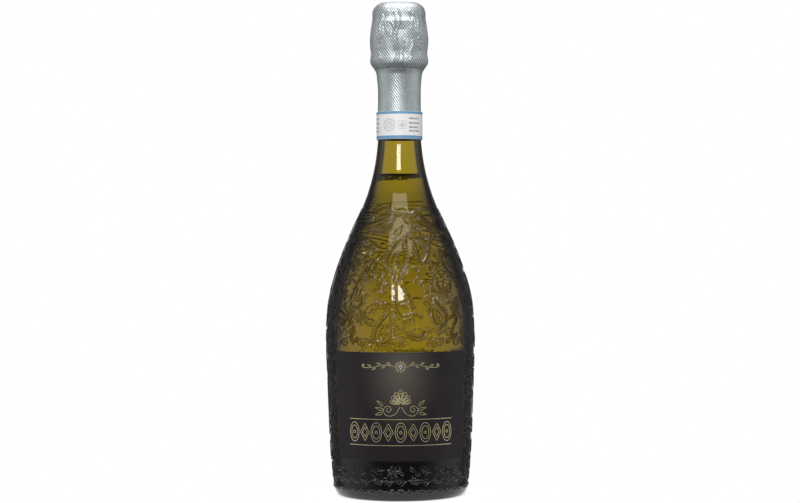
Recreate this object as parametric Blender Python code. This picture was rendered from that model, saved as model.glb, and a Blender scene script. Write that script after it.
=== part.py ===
"""A 750 ml sparkling wine bottle, corked, wired and foiled, as it stands before it is opened.

Metres, +Z up. The origin is the centre of the base, on the surface that the bottle stands on.
The front label faces -Y. Heights run up from the base; the finish is measured down from the lip.
"""

import math

import bmesh
import bpy
from mathutils import Matrix, Vector

# Clearances between pieces
FIT_GAP = 0.0003
WRAP_GAP = 0.0002
JOIN_OVERRUN = 0.0004
MERGE_DISTANCE = 0.000001

# Glass, outside
BELLY_RADIUS = 0.0454
BELLY_HEIGHT = 0.0965
HEEL_RADIUS = 0.0414
HEEL_ROUNDING = 0.0090
RING_OUTER_RADIUS = 0.0368
RING_INNER_RADIUS = 0.0322
SHOULDER_HEIGHT = 0.1215
NECK_RADIUS = 0.01325
NECK_HEIGHT = 0.0615
PUNT_HEIGHT = 0.0270

# Glass, inside
BORE_RADIUS = 0.00875
NECK_BORE_RADIUS = 0.0108
BELLY_WALL = 0.0031
FLOOR_WALL = 0.0070
FLOOR_HEIGHT = 0.0085
FLOOR_RADIUS = 0.0325
FLOOR_ROUNDING = 0.0062

# Finish, down from the lip
CROWN_RADIUS = 0.0144
CROWN_DEPTH = 0.0040
LIP_ROUNDING = 0.0009
RECESS_RADIUS = 0.0137
RECESS_DEPTH = 0.0062
BAGUE_RADIUS = 0.0154
BAGUE_DEPTH = 0.0129
BAGUE_ROUNDING = 0.0010
BORE_CHAMFER = 0.0008

# Wine, down from the lip
FILL_DEPTH = 0.0847

# Front label and its stone
LABEL_BOTTOM = 0.0202
LABEL_HEIGHT = 0.0691
LABEL_WRAP = math.radians(114)
LABEL_WALL = 0.0003
GEM_HEIGHT = 0.0807
GEM_RADIUS = 0.0015
GEM_THICKNESS = 0.0012
GEM_TABLE_RADIUS = 0.0008
GEM_GIRDLE = 0.0003

# Cork
CORK_LENGTH_INSIDE = 0.0253
CORK_DISC_THICKNESS = 0.0060
CORK_HEAD_RADIUS = 0.0142
CORK_HEAD_HEIGHT = 0.0179
CORK_TOP_RADIUS = 0.0133

# Crown plate
PLATE_SHEET = 0.0003
PLATE_RADIUS = 0.0146
PLATE_SKIRT = 0.0034
PLATE_LEDGE_RADIUS = 0.0102
PLATE_DISC_RADIUS = 0.0090
PLATE_DISC_RISE = 0.0013
PLATE_ROUNDING = 0.0009

# Wire cage
WIRE_RADIUS = 0.0004
CAGE_LEGS = 4
CAGE_RING_RADIUS = 0.0110
TWIST_PITCH = 0.0060
EYE_RADIUS = 0.00105
EYE_WIRE_RADIUS = 0.00035
EYE_LAP = 0.0001
BELT_WIRE_RADIUS = 0.00045
BELT_RADIUS = 0.0152
BELT_DROP = 0.0018
KEY_WIRE_RADIUS = 0.00045
KEY_STEM_LENGTH = 0.0052
KEY_HALF_WIDTH = 0.0045
KEY_LOOP_HEIGHT = 0.0178
KEY_BEND_RISE = 0.0010
KEY_BEND_GAP = 0.0003

# Foil hood, neck skirt and neck band
FOIL_WALL = 0.0003
SKIRT_WALL = 0.00025
TEAR_DROP = 0.0062
HOOD_LOFT = 0.0014
HOOD_SINK = 0.0008
SKIRT_FLARE = 0.0045
SEAM_WIDTH = 0.0040
SEAM_RISE = 0.00012
SEAM_TURN = math.radians(-63)
BAND_BOTTOM_DROP = 0.0619
BAND_HEIGHT = 0.0169
BAND_WALL = 0.00022
SKIRT_TUCK = 0.0010

# Facets
ROUND_SIDES = 36
CORK_SIDES = 30
WIRE_SIDES = 6
GEM_SIDES = 8
TWIST_STEPS = 4
ARC_STEPS = 3
LOBE_TURN = math.radians(105)
HEEL_ARC = (-90, -22)
FLOOR_ARC = (-90, -15)
SHARP_ANGLE = math.radians(38)
FRONT = math.radians(-90)

# Heights that follow from the sizes above
NECK_BASE = BELLY_HEIGHT + SHOULDER_HEIGHT
LIP = NECK_BASE + NECK_HEIGHT
BAGUE_BOTTOM = LIP - BAGUE_DEPTH
BELT_Z = BAGUE_BOTTOM - BELT_DROP
TEAR_Z = BAGUE_BOTTOM - TEAR_DROP
CORK_TOP = LIP + CORK_HEAD_HEIGHT
CORK_BOTTOM = LIP - CORK_LENGTH_INSIDE
PLATE_LEDGE = CORK_TOP + FIT_GAP + PLATE_SHEET
PLATE_TOP = PLATE_LEDGE + PLATE_DISC_RISE
CAGE_TOP = PLATE_LEDGE + FIT_GAP + WIRE_RADIUS
HOOD_TOP = CAGE_TOP + WIRE_RADIUS + FIT_GAP + FOIL_WALL + HOOD_LOFT
PAIR_WIDTH = 2 * WIRE_RADIUS
LEG_RADIUS = BAGUE_RADIUS + FIT_GAP + PAIR_WIDTH
HOOD_RADIUS = LEG_RADIUS + PAIR_WIDTH + FIT_GAP + FOIL_WALL
KEY_PLANE = BAGUE_RADIUS + FIT_GAP + 2 * KEY_WIRE_RADIUS
KEY_AXIS_Z = BELT_Z + KEY_BEND_RISE

# Shares of height and of radius along the body, from the heel to the belly and on to the neck
LOWER_BODY_SHARES = ((0, 0), (0.22, 0.37), (0.48, 0.61), (0.73, 0.81), (0.90, 0.95), (1, 1))
SHOULDER_SHARES = (
    (0, 1), (0.12, 0.98), (0.24, 0.91), (0.36, 0.775), (0.48, 0.605),
    (0.60, 0.397), (0.72, 0.208), (0.84, 0.083), (0.93, 0.026), (1, 0),
)
# Shares of the punt's radius and height, from its tip down to the resting ring
PUNT_SHARES = ((0, 1), (0.22, 0.955), (0.45, 0.80), (0.68, 0.52), (0.88, 0.19), (1, 0))
# Shares of the cork head's height and radius, from the lip to the top edge
CORK_HEAD_SHARES = ((0.05, 0.80), (0.15, 0.94), (0.40, 1), (0.64, 0.993), (0.84, 0.965))
# Shares of the hood's height and radius, from the torn hem up to the top edge
HOOD_SHARES = (
    (0, 0.845), (0.035, 0.895), (0.07, 0.955), (0.135, 1.0), (0.19, 0.982), (0.25, 0.965),
    (0.33, 0.99), (0.45, 1.008), (0.57, 0.985), (0.70, 0.94), (0.77, 0.915), (0.87, 0.91),
    (0.92, 0.877), (0.965, 0.80), (1, 0.68),
)
# Shares of the skirt's flare up its height and out to the torn edge
FLARE_SHARES = ((0, 0), (0.45, 0.22), (0.8, 0.65), (1, 1))
# Facets beside a leg, and beside the key, where the hood still stands out in full and where it is eased
LEG_COVER_SHARES = (1.05, 2.6)
KEY_COVER_SHARES = (1.0, 2.5)
# How far in the waist between two touching wires lies, as a share of a wire's side
WAIST_SHARE = 0.33


def clear_scene():
    for thing in list(bpy.data.objects):
        bpy.data.objects.remove(thing, do_unlink=True)


def material(name, colour, roughness, metallic=0.0, transmission=0.0):
    """A Principled finish: colour is linear RGB."""
    made = bpy.data.materials.new(name)
    made.use_nodes = True
    shader = made.node_tree.nodes["Principled BSDF"]
    shader.inputs["Base Color"].default_value = (*colour, 1)
    shader.inputs["Roughness"].default_value = roughness
    shader.inputs["Metallic"].default_value = metallic
    shader.inputs["Transmission Weight"].default_value = transmission
    made.diffuse_color = (*colour, 1)
    return made


def carrier(name, place, parent=None):
    """An empty on a joint's axis, which carries the pieces that move together."""
    empty = bpy.data.objects.new(name, None)
    bpy.context.scene.collection.objects.link(empty)
    empty.parent = parent
    empty.location = Vector(place) - (parent_place(parent) if parent else Vector())
    return empty


def parent_place(empty):
    place = Vector()
    while empty:
        place = place + empty.location
        empty = empty.parent
    return place


def add_piece(name, shape, finish, parent, helper=False):
    """Links the bmesh as an object under its carrier, with its origin on the carrier's axis."""
    bmesh.ops.recalc_face_normals(shape, faces=shape.faces)
    bmesh.ops.translate(shape, verts=shape.verts, vec=-parent_place(parent))
    mesh = bpy.data.meshes.new(name)
    shape.to_mesh(mesh)
    shape.free()
    mesh.materials.append(finish)
    mesh.shade_smooth()
    mesh.set_sharp_from_angle(angle=SHARP_ANGLE)
    piece = bpy.data.objects.new(name, mesh)
    bpy.context.scene.collection.objects.link(piece)
    piece.parent = parent
    if helper:
        piece.hide_render = True
        piece.display_type = "WIRE"
    return piece


def join(piece, helper):
    """Fuses a helper into a piece with a Boolean union."""
    union = piece.modifiers.new("with " + helper.name, "BOOLEAN")
    union.operation = "UNION"
    union.object = helper


def smooth(points, steps):
    """A smooth curve through every point (Catmull-Rom), with so many steps between each two."""
    ends = [points[0], *points, points[-1]]
    curve = []
    for before, start, end, after in zip(ends, ends[1:], ends[2:], ends[3:]):
        for step in range(steps):
            t = step / steps
            curve.append(tuple(
                b + (c - a) * t / 2 + (2 * a - 5 * b + 4 * c - d) * t**2 / 2
                + (3 * b - a - 3 * c + d) * t**3 / 2
                for a, b, c, d in zip(before, start, end, after)
            ))
    curve.append(tuple(points[-1]))
    return curve


def arc(centre, across, up, start, end, steps):
    """Points of an elliptical arc in the (radius, height) plane, angles in degrees."""
    points = []
    for step in range(steps + 1):
        angle = math.radians(start + (end - start) * step / steps)
        points.append((centre[0] + across * math.cos(angle), centre[1] + up * math.sin(angle)))
    return points


def drawn_in(outline, distance):
    """The outline moved to its left by a distance, with points on the axis kept on it."""
    moved = []
    for index, (radius, height) in enumerate(outline):
        before = outline[max(index - 1, 0)]
        after = outline[min(index + 1, len(outline) - 1)]
        across = after[0] - before[0]
        up = after[1] - before[1]
        length = math.hypot(across, up)
        side = 0 if radius == 0 else -up / length * distance
        moved.append((radius + side, height + across / length * distance))
    return moved


def radius_at(outline, height):
    """The radius of an outline that climbs steadily, at a height."""
    for (low_radius, low), (high_radius, high) in zip(outline, outline[1:]):
        if low <= height <= high:
            share = (height - low) / (high - low)
            return low_radius + (high_radius - low_radius) * share
    return outline[-1][0] if height > outline[-1][1] else outline[0][0]


def turned(outline, sides, closed=False, turn=0.0, sweep=None):
    """Spins a (radius, height) outline about Z; a closed one turned part of the way gets end faces."""
    shape = bmesh.new()
    start = Matrix.Rotation(turn, 3, "Z")
    points = [shape.verts.new(start @ Vector((radius, 0, height))) for radius, height in outline]
    if closed and sweep:
        section = [shape.faces.new(points)]
        section += [*section[0].edges, *points]
    else:
        section = [shape.edges.new(pair) for pair in zip(points, points[1:])]
        if closed:
            section.append(shape.edges.new((points[-1], points[0])))
        section += points
    bmesh.ops.spin(
        shape, geom=section, axis=(0, 0, 1), cent=(0, 0, 0),
        angle=sweep or 2 * math.pi, steps=sides, use_merge=not sweep,
    )
    bmesh.ops.remove_doubles(shape, verts=shape.verts, dist=MERGE_DISTANCE)
    return shape


def swept(sections, closed=False):
    """A solid skinned over rings of points, with flat ends unless it closes on itself."""
    shape = bmesh.new()
    rings = [[shape.verts.new(point) for point in section] for section in sections]
    pairs = list(zip(rings, rings[1:]))
    if closed:
        pairs.append((rings[-1], rings[0]))
    for low, high in pairs:
        for index in range(len(low)):
            after = (index + 1) % len(low)
            shape.faces.new((low[index], low[after], high[after], high[index]))
    if not closed:
        shape.faces.new(rings[0])
        shape.faces.new(rings[-1])
    return shape


def round_section(radius, sides):
    turns = [2 * math.pi * side / sides for side in range(sides)]
    return [(radius * math.cos(turn), radius * math.sin(turn)) for turn in turns]


def pair_section(radius):
    """Two touching wires side by side, as one outline with a waist."""
    lobe = [-LOBE_TURN, 0, LOBE_TURN]
    waist = radius * math.sin(LOBE_TURN) * WAIST_SHARE
    right = [(radius * (1 + math.cos(a)), radius * math.sin(a)) for a in lobe]
    left = [(-across, -up) for across, up in right]
    return [*right, (0, waist), *left, (0, -waist)]


def along(path, side, section, twists, closed=False):
    """Sections set across a path: side is the path's own sideways direction."""
    sections = []
    count = len(path)
    for index, place in enumerate(path):
        before = path[index - 1] if closed else path[max(index - 1, 0)]
        after = path[(index + 1) % count] if closed else path[min(index + 1, count - 1)]
        forward = (after - before).normalized()
        across = (side - forward * side.dot(forward)).normalized()
        up = forward.cross(across)
        turn = twists[index]
        rotated = across * math.cos(turn) + up * math.sin(turn)
        upright = up * math.cos(turn) - across * math.sin(turn)
        sections.append([place + rotated * x + upright * y for x, y in section])
    return sections


def body_outline(steps):
    """The outside of the glass from the heel to the neck's foot, with so many steps a share."""
    climb = BELLY_HEIGHT - HEEL_ROUNDING
    lower = [
        (HEEL_RADIUS + (BELLY_RADIUS - HEEL_RADIUS) * wide, HEEL_ROUNDING + climb * high)
        for high, wide in LOWER_BODY_SHARES
    ]
    shoulder = [
        (NECK_RADIUS + (BELLY_RADIUS - NECK_RADIUS) * wide, BELLY_HEIGHT + SHOULDER_HEIGHT * high)
        for high, wide in SHOULDER_SHARES
    ]
    return lower[:-1] + smooth([lower[-1], *shoulder[1:]], steps)


def inner_radius(radius):
    """The inside radius of the glass where its outside has a radius: the neck's wall is thicker."""
    share = (radius - NECK_RADIUS) / (BELLY_RADIUS - NECK_RADIUS)
    return NECK_BORE_RADIUS + (BELLY_RADIUS - BELLY_WALL - NECK_BORE_RADIUS) * share


def glass_inside():
    """The inside of the glass from the middle of the floor to the neck's foot."""
    dome = [
        (FLOOR_RADIUS * wide, FLOOR_HEIGHT + (PUNT_HEIGHT + FLOOR_WALL - FLOOR_HEIGHT) * high)
        for wide, high in PUNT_SHARES[:-1]
    ]
    walls = [(inner_radius(radius), height) for radius, height in body_outline(1)[1:]]
    corner = inner_radius(HEEL_RADIUS) - FLOOR_RADIUS
    rounding = arc(
        (FLOOR_RADIUS, FLOOR_HEIGHT + FLOOR_ROUNDING), corner, FLOOR_ROUNDING, *FLOOR_ARC, ARC_STEPS
    )
    return dome + rounding + walls


def finish_outline():
    """The outside of the glass from the neck's foot over the bague and the crown ring to the lip."""
    bague_top = LIP - RECESS_DEPTH
    crown_bottom = LIP - CROWN_DEPTH
    return [
        (NECK_RADIUS, BAGUE_BOTTOM),
        (BAGUE_RADIUS - BAGUE_ROUNDING / 2, BAGUE_BOTTOM),
        (BAGUE_RADIUS, BAGUE_BOTTOM + BAGUE_ROUNDING),
        (BAGUE_RADIUS, bague_top - 2 * BAGUE_ROUNDING),
        (BAGUE_RADIUS - BAGUE_ROUNDING / 2, bague_top - BAGUE_ROUNDING / 2),
        (RECESS_RADIUS, bague_top),
        (RECESS_RADIUS, crown_bottom - LIP_ROUNDING),
        (CROWN_RADIUS, crown_bottom),
        (CROWN_RADIUS, LIP - LIP_ROUNDING),
        (CROWN_RADIUS - LIP_ROUNDING, LIP),
        (BORE_RADIUS + BORE_CHAMFER, LIP),
        (BORE_RADIUS, LIP - BORE_CHAMFER),
        (BORE_RADIUS, CORK_BOTTOM),
    ]


def make_glass(finish, parent):
    punt = [(RING_INNER_RADIUS * wide, PUNT_HEIGHT * high) for wide, high in PUNT_SHARES]
    heel_across = HEEL_RADIUS - RING_OUTER_RADIUS
    heel_centre = (RING_OUTER_RADIUS, HEEL_ROUNDING)
    heel = arc(heel_centre, heel_across, HEEL_ROUNDING, *HEEL_ARC, ARC_STEPS)
    outline = punt + heel + body_outline(2) + finish_outline() + glass_inside()[::-1]
    add_piece("glass_bottle", turned(outline, ROUND_SIDES), finish, parent)


def make_wine(finish, parent):
    """The wine fills the glass up to its level, clear of the wall by the fit gap."""
    level = LIP - FILL_DEPTH
    filled = drawn_in(glass_inside(), FIT_GAP)
    below = [point for point in filled if point[1] < level - FIT_GAP]
    rim = radius_at(filled[len(below) - 1:], level)
    outline = [*below, (rim, level), (0, level)]
    add_piece("wine", turned(outline, ROUND_SIDES), finish, parent)


def make_label(finish, parent):
    """A thin shell wrapped round the front of the body, as tall as its straight part."""
    body = body_outline(2)
    top = LABEL_BOTTOM + LABEL_HEIGHT
    inner_at = [(radius_at(body, LABEL_BOTTOM), LABEL_BOTTOM)]
    inner_at += [point for point in body if LABEL_BOTTOM < point[1] < top]
    inner_at += [(radius_at(body, top), top)]
    inside = [(radius + FIT_GAP, height) for radius, height in inner_at]
    outside = [(radius + LABEL_WALL, height) for radius, height in inside]
    sides = round(ROUND_SIDES * LABEL_WRAP / (2 * math.pi))
    shape = turned(
        outside + inside[::-1], sides, closed=True, turn=FRONT - LABEL_WRAP / 2, sweep=LABEL_WRAP
    )
    add_piece("front_label", shape, finish, parent)
    return outside


def make_gem(label, finish, parent):
    """A round stone with eight facets, flat on the label."""
    shape = bmesh.new()
    bmesh.ops.create_cone(
        shape, cap_ends=True, segments=GEM_SIDES, radius1=GEM_RADIUS, radius2=GEM_TABLE_RADIUS,
        depth=GEM_THICKNESS - GEM_GIRDLE,
    )
    crown_back = -(GEM_THICKNESS - GEM_GIRDLE) / 2
    back = [face for face in shape.faces if face.calc_center_median().z < crown_back / 2]
    back = [face for face in back if len(face.verts) == GEM_SIDES]
    girdle = bmesh.ops.extrude_face_region(shape, geom=back)["geom"]
    bmesh.ops.translate(
        shape, verts=[v for v in girdle if isinstance(v, bmesh.types.BMVert)],
        vec=(0, 0, -GEM_GIRDLE),
    )
    bmesh.ops.delete(shape, geom=back, context="FACES_ONLY")
    stand_off = radius_at(label, GEM_HEIGHT) + FIT_GAP + GEM_THICKNESS / 2 + GEM_GIRDLE / 2
    bmesh.ops.rotate(shape, verts=shape.verts, matrix=Matrix.Rotation(-FRONT, 3, "X"))
    bmesh.ops.translate(shape, verts=shape.verts, vec=(0, -stand_off, GEM_HEIGHT))
    add_piece("label_gem", shape, finish, parent)


def make_skirt(foil, parent):
    """The foil left on the neck once the hood is torn off, with its lapped seam."""
    inside = NECK_RADIUS + WRAP_GAP
    outside = inside + SKIRT_WALL
    bottom = LIP - BAND_BOTTOM_DROP + SKIRT_TUCK
    top = TEAR_Z - FIT_GAP
    flare_radius = BAGUE_RADIUS - FIT_GAP - FOIL_WALL
    flare = [
        (outside + (flare_radius - outside) * wide, top - SKIRT_FLARE * (1 - high))
        for high, wide in FLARE_SHARES
    ]
    outer = [(outside, bottom), *flare]
    inner = [(radius - SKIRT_WALL, height) for radius, height in outer]
    skirt = add_piece("foil_skirt", turned(outer + inner[::-1], ROUND_SIDES, closed=True), foil, parent)
    seam_low = LIP - BAND_BOTTOM_DROP + BAND_HEIGHT + FIT_GAP
    seam_high = top - SKIRT_FLARE
    strip = [
        (outside - SKIRT_WALL / 2, seam_low), (outside + SEAM_RISE, seam_low),
        (outside + SEAM_RISE, seam_high), (outside - SKIRT_WALL / 2, seam_high),
    ]
    sweep = SEAM_WIDTH / outside
    shape = turned(strip, ARC_STEPS, closed=True, turn=SEAM_TURN - sweep / 2, sweep=sweep)
    join(skirt, add_piece("skirt_seam", shape, foil, parent, helper=True))
    return outside


def make_band(skirt_radius, finish, parent):
    """The paper band round the foot of the foil, with a raised border along each edge."""
    bottom = LIP - BAND_BOTTOM_DROP
    top = bottom + BAND_HEIGHT
    inside = skirt_radius + WRAP_GAP
    outside = inside + BAND_WALL
    outline = [(inside, bottom), (outside, bottom), (outside, top), (inside, top)]
    add_piece("neck_band", turned(outline, ROUND_SIDES, closed=True), finish, parent)


def make_cork(finish, disc_finish, parent):
    trunk = BORE_RADIUS - FIT_GAP
    disc_bottoms = [CORK_BOTTOM, CORK_BOTTOM + CORK_DISC_THICKNESS + FIT_GAP]
    for name, bottom in zip(("cork_disc_lower", "cork_disc_upper"), disc_bottoms):
        top = bottom + CORK_DISC_THICKNESS
        outline = [(0, bottom), (trunk, bottom), (trunk, top), (0, top)]
        add_piece(name, turned(outline, CORK_SIDES), disc_finish, parent)
    bottom = disc_bottoms[-1] + CORK_DISC_THICKNESS + FIT_GAP
    head = [
        (CORK_HEAD_RADIUS * wide, LIP + CORK_HEAD_HEIGHT * high) for high, wide in CORK_HEAD_SHARES
    ]
    edge = CORK_HEAD_RADIUS - CORK_TOP_RADIUS
    outline = [
        (0, bottom), (trunk, bottom), (trunk, LIP), *head,
        (CORK_TOP_RADIUS, CORK_TOP - edge / 2), (CORK_TOP_RADIUS - edge, CORK_TOP), (0, CORK_TOP),
    ]
    add_piece("cork_body", turned(outline, CORK_SIDES), finish, parent)


def make_plate(finish, parent):
    """The tin plate on the cork: a raised disc, a ledge for the wire and a short skirt."""
    skirt_bottom = PLATE_LEDGE - PLATE_ROUNDING - PLATE_SKIRT
    top = [
        (0, PLATE_TOP), (PLATE_DISC_RADIUS, PLATE_TOP), (PLATE_LEDGE_RADIUS, PLATE_LEDGE),
        (PLATE_RADIUS - PLATE_ROUNDING, PLATE_LEDGE),
        (PLATE_RADIUS - PLATE_ROUNDING / 4, PLATE_LEDGE - PLATE_ROUNDING / 3),
        (PLATE_RADIUS, PLATE_LEDGE - PLATE_ROUNDING), (PLATE_RADIUS, skirt_bottom),
    ]
    under = drawn_in(top, -PLATE_SHEET)
    under[-1] = (under[-1][0], skirt_bottom)
    add_piece("crown_plate", turned(top + under[::-1], ROUND_SIDES), finish, parent)


def leg_path():
    """One leg in the (radius, height) plane: over the plate's edge and down under the bague."""
    bend = PLATE_RADIUS + FIT_GAP + WIRE_RADIUS
    corner = PLATE_ROUNDING / 2
    return [
        (CAGE_RING_RADIUS - WIRE_RADIUS / 4, CAGE_TOP),
        (PLATE_RADIUS - PLATE_ROUNDING, CAGE_TOP),
        (bend - corner, CAGE_TOP - corner),
        (bend, CAGE_TOP - 3 * corner),
        (bend, PLATE_LEDGE - PLATE_ROUNDING - PLATE_SKIRT - PAIR_WIDTH / 2),
        (LEG_RADIUS, LIP - RECESS_DEPTH),
        (LEG_RADIUS, BAGUE_BOTTOM + 2 * PAIR_WIDTH),
        (BAGUE_RADIUS + EYE_RADIUS / 2, BAGUE_BOTTOM + EYE_WIRE_RADIUS),
        (BELT_RADIUS + EYE_RADIUS / 2, BELT_Z + EYE_RADIUS - EYE_LAP),
    ]


def evenly_spaced(corners, spacing):
    """Points along straight runs, spaced evenly, and every corner."""
    points = []
    for start, end in zip(corners, corners[1:]):
        steps = max(1, round((end - start).length / spacing))
        points += [start.lerp(end, step / steps) for step in range(steps)]
    return [*points, corners[-1]]


def pair_solid(corners, side, straight):
    """A pair of wires along a path, lying flat for so many corners and then twisted together."""
    flat = evenly_spaced(corners[:straight], TWIST_PITCH)
    twisted = evenly_spaced(corners[straight - 1:], TWIST_PITCH / TWIST_STEPS) if corners[straight:] else []
    path = flat + twisted[1:]
    twists = []
    turn = 0.0
    for index, place in enumerate(path):
        if index >= len(flat):
            turn += 2 * math.pi * (place - path[index - 1]).length / TWIST_PITCH
        twists.append(turn)
    return swept(along(path, side, pair_section(WIRE_RADIUS), twists))


def ring_solid(centre, across, up, wire, steps):
    """A closed wire ring: across and up are its two half-axes."""
    path = []
    for step in range(steps):
        turn = 2 * math.pi * step / steps
        path.append(centre + across * math.cos(turn) + up * math.sin(turn))
    normal = across.cross(up).normalized()
    sections = along(path, normal, round_section(wire, WIRE_SIDES), [0.0] * steps, closed=True)
    return swept(sections, closed=True)


def make_cage(wire, parent):
    """The ring on the plate, four twisted legs and the eye at the foot of each, as one wire solid."""
    ring = [
        (CAGE_RING_RADIUS + across, CAGE_TOP + up)
        for across, up in round_section(WIRE_RADIUS, WIRE_SIDES)
    ]
    half_facet = math.pi / ROUND_SIDES
    shape = turned(ring, ROUND_SIDES, closed=True, turn=half_facet)
    cage = add_piece("muselet_frame", shape, wire, parent)
    for leg in range(CAGE_LEGS):
        turn = FRONT + math.pi / CAGE_LEGS + 2 * math.pi * leg / CAGE_LEGS
        outward = Vector((math.cos(turn), math.sin(turn), 0))
        side = Vector((-math.sin(turn), math.cos(turn), 0))
        corners = [outward * radius + Vector((0, 0, height)) for radius, height in leg_path()]
        shape = pair_solid(corners, side, 5)
        join(cage, add_piece(f"cage_leg_{leg + 1}", shape, wire, parent, helper=True))
        centre = outward * BELT_RADIUS + Vector((0, 0, BELT_Z))
        eye = ring_solid(
            centre, outward * EYE_RADIUS, Vector((0, 0, EYE_RADIUS)), EYE_WIRE_RADIUS, 2 * WIRE_SIDES
        )
        join(cage, add_piece(f"cage_eye_{leg + 1}", eye, wire, parent, helper=True))


def make_belt(wire, parent):
    """The wire that is drawn tight under the bague, with its two ends led out to the key."""
    ring = [
        (BELT_RADIUS + across, BELT_Z + up)
        for across, up in round_section(BELT_WIRE_RADIUS, WIRE_SIDES)
    ]
    belt = add_piece("muselet_belt", turned(ring, ROUND_SIDES, closed=True), wire, parent)
    corners = [Vector((0, -BELT_RADIUS, BELT_Z)), Vector((0, -KEY_PLANE, BELT_Z))]
    ends = pair_solid(corners, Vector((1, 0, 0)), 2)
    join(belt, add_piece("belt_ends", ends, wire, parent, helper=True))


def make_key(wire, parent):
    """The twisted stem and the loop that is turned to open the cage, folded up against it."""
    foot = Vector((0, -KEY_PLANE, KEY_AXIS_Z + KEY_BEND_GAP))
    head = foot + Vector((0, 0, KEY_STEM_LENGTH))
    half = KEY_LOOP_HEIGHT / 2
    loop = ring_solid(
        head + Vector((0, 0, half - JOIN_OVERRUN)), Vector((KEY_HALF_WIDTH, 0, 0)),
        Vector((0, 0, half)), KEY_WIRE_RADIUS, 3 * WIRE_SIDES,
    )
    key = add_piece("muselet_key", loop, wire, parent)
    corners = [foot, foot + Vector((0, 0, WIRE_RADIUS)), head]
    stem = pair_solid(corners, Vector((1, 0, 0)), 2)
    join(key, add_piece("key_stem", stem, wire, parent, helper=True))


def fade(distance, flat, reach):
    """1 within a flat share of an angle, easing to 0 at its reach."""
    share = min(max((distance - flat) / (reach - flat), 0), 1)
    return 1 - share * share * (3 - 2 * share)


def key_cover():
    """The hood's radius over the key, and the half-angle that the key takes up."""
    plane = KEY_PLANE + KEY_WIRE_RADIUS
    side = KEY_HALF_WIDTH + KEY_WIRE_RADIUS
    return math.hypot(plane, side) + FIT_GAP + FOIL_WALL, math.atan2(side, plane)


def hood_push(outline, point):
    """How far the foil stands out at a point, over each leg of the cage and over the key."""
    angle = math.atan2(point.y, point.x)
    spacing = 2 * math.pi / CAGE_LEGS
    step = 2 * math.pi / ROUND_SIDES
    to_leg = abs((angle - FRONT + math.pi / CAGE_LEGS + spacing / 2) % spacing - spacing / 2)
    leg_push = PAIR_WIDTH * fade(to_leg, *[share * step for share in LEG_COVER_SHARES])
    cover, half_angle = key_cover()
    to_key = abs((angle - FRONT + math.pi) % (2 * math.pi) - math.pi)
    key_top = KEY_AXIS_Z + KEY_STEM_LENGTH + KEY_LOOP_HEIGHT
    past_top = fade(point.z, key_top + FOIL_WALL, key_top + SKIRT_FLARE)
    below_foot = fade(BELT_Z - point.z, PAIR_WIDTH, BELT_Z - TEAR_Z)
    need = max(cover - radius_at(outline, min(point.z, outline[-1][1])), 0)
    beside = fade(to_key, *[half_angle + share * step for share in KEY_COVER_SHARES])
    key_push = need * past_top * below_foot * beside
    reach = min(math.hypot(point.x, point.y) / CAGE_RING_RADIUS, 1)
    return max(leg_push, key_push) * reach**2


def make_hood(foil, parent):
    """The foil over the cork and cage, down to the line where it tears off."""
    tall = HOOD_TOP - TEAR_Z
    side = [(HOOD_RADIUS * wide, TEAR_Z + tall * high) for high, wide in HOOD_SHARES]
    top = [
        (CAGE_RING_RADIUS, HOOD_TOP), (PLATE_DISC_RADIUS, HOOD_TOP - HOOD_SINK), (0, HOOD_TOP - HOOD_SINK),
    ]
    outer = side + top
    inner = drawn_in(outer, FOIL_WALL)
    inner[0] = (inner[0][0], TEAR_Z)
    shape = turned(outer[::-1] + inner, ROUND_SIDES)
    for vertex in shape.verts:
        radius = math.hypot(vertex.co.x, vertex.co.y)
        if radius > 0:
            scale = 1 + hood_push(side, vertex.co) / radius
            vertex.co.x *= scale
            vertex.co.y *= scale
    add_piece("foil_hood", shape, foil, parent)


def main():
    clear_scene()
    glass = material("green glass", (0.18, 0.16, 0.02), 0.03, transmission=1.0)
    wine = material("wine", (0.55, 0.42, 0.10), 0.02, transmission=1.0)
    label = material("black satin label", (0.035, 0.032, 0.032), 0.45)
    gem = material("pale rose stone", (0.80, 0.52, 0.48), 0.05, transmission=0.6)
    foil = material("silver foil", (0.62, 0.63, 0.62), 0.28, metallic=1.0)
    band = material("white band", (0.84, 0.84, 0.83), 0.40)
    cork = material("pressed cork", (0.45, 0.27, 0.13), 0.85)
    disc = material("natural cork", (0.52, 0.33, 0.17), 0.80)
    plate = material("tin plate", (0.55, 0.56, 0.57), 0.30, metallic=1.0)
    wire = material("galvanised wire", (0.50, 0.51, 0.52), 0.35, metallic=1.0)

    bottle = carrier("bottle_base", (0, 0, 0))
    cork_axis = carrier("cork_slide", (0, 0, LIP), bottle)
    cage_axis = carrier("muselet_slide", (0, 0, BELT_Z), cork_axis)
    hood_axis = carrier("hood_slide", (0, 0, TEAR_Z), cage_axis)
    key_axis = carrier("key_hinge", (0, -KEY_PLANE, KEY_AXIS_Z), cage_axis)

    make_glass(glass, bottle)
    make_wine(wine, bottle)
    make_gem(make_label(label, bottle), gem, bottle)
    make_band(make_skirt(foil, bottle), band, bottle)
    make_cork(cork, disc, cork_axis)
    make_plate(plate, cage_axis)
    make_cage(wire, cage_axis)
    make_belt(wire, cage_axis)
    make_key(wire, key_axis)
    make_hood(foil, hood_axis)


main()
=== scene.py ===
"""Finishes for a sparkling wine bottle: moulded green glass, wine, foil, paper, cork and wire.

Metres, +Z up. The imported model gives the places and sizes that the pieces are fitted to, but for the
label's foot, which is a setting and stands higher than the model's. The label faces -Y, and angles
run anticlockwise about the bottle's axis from +X.
"""

import math

import bmesh
import bpy
import numpy as np
from bpy.props import FloatProperty, FloatVectorProperty, IntProperty, PointerProperty
from mathutils import Matrix, Vector


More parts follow.
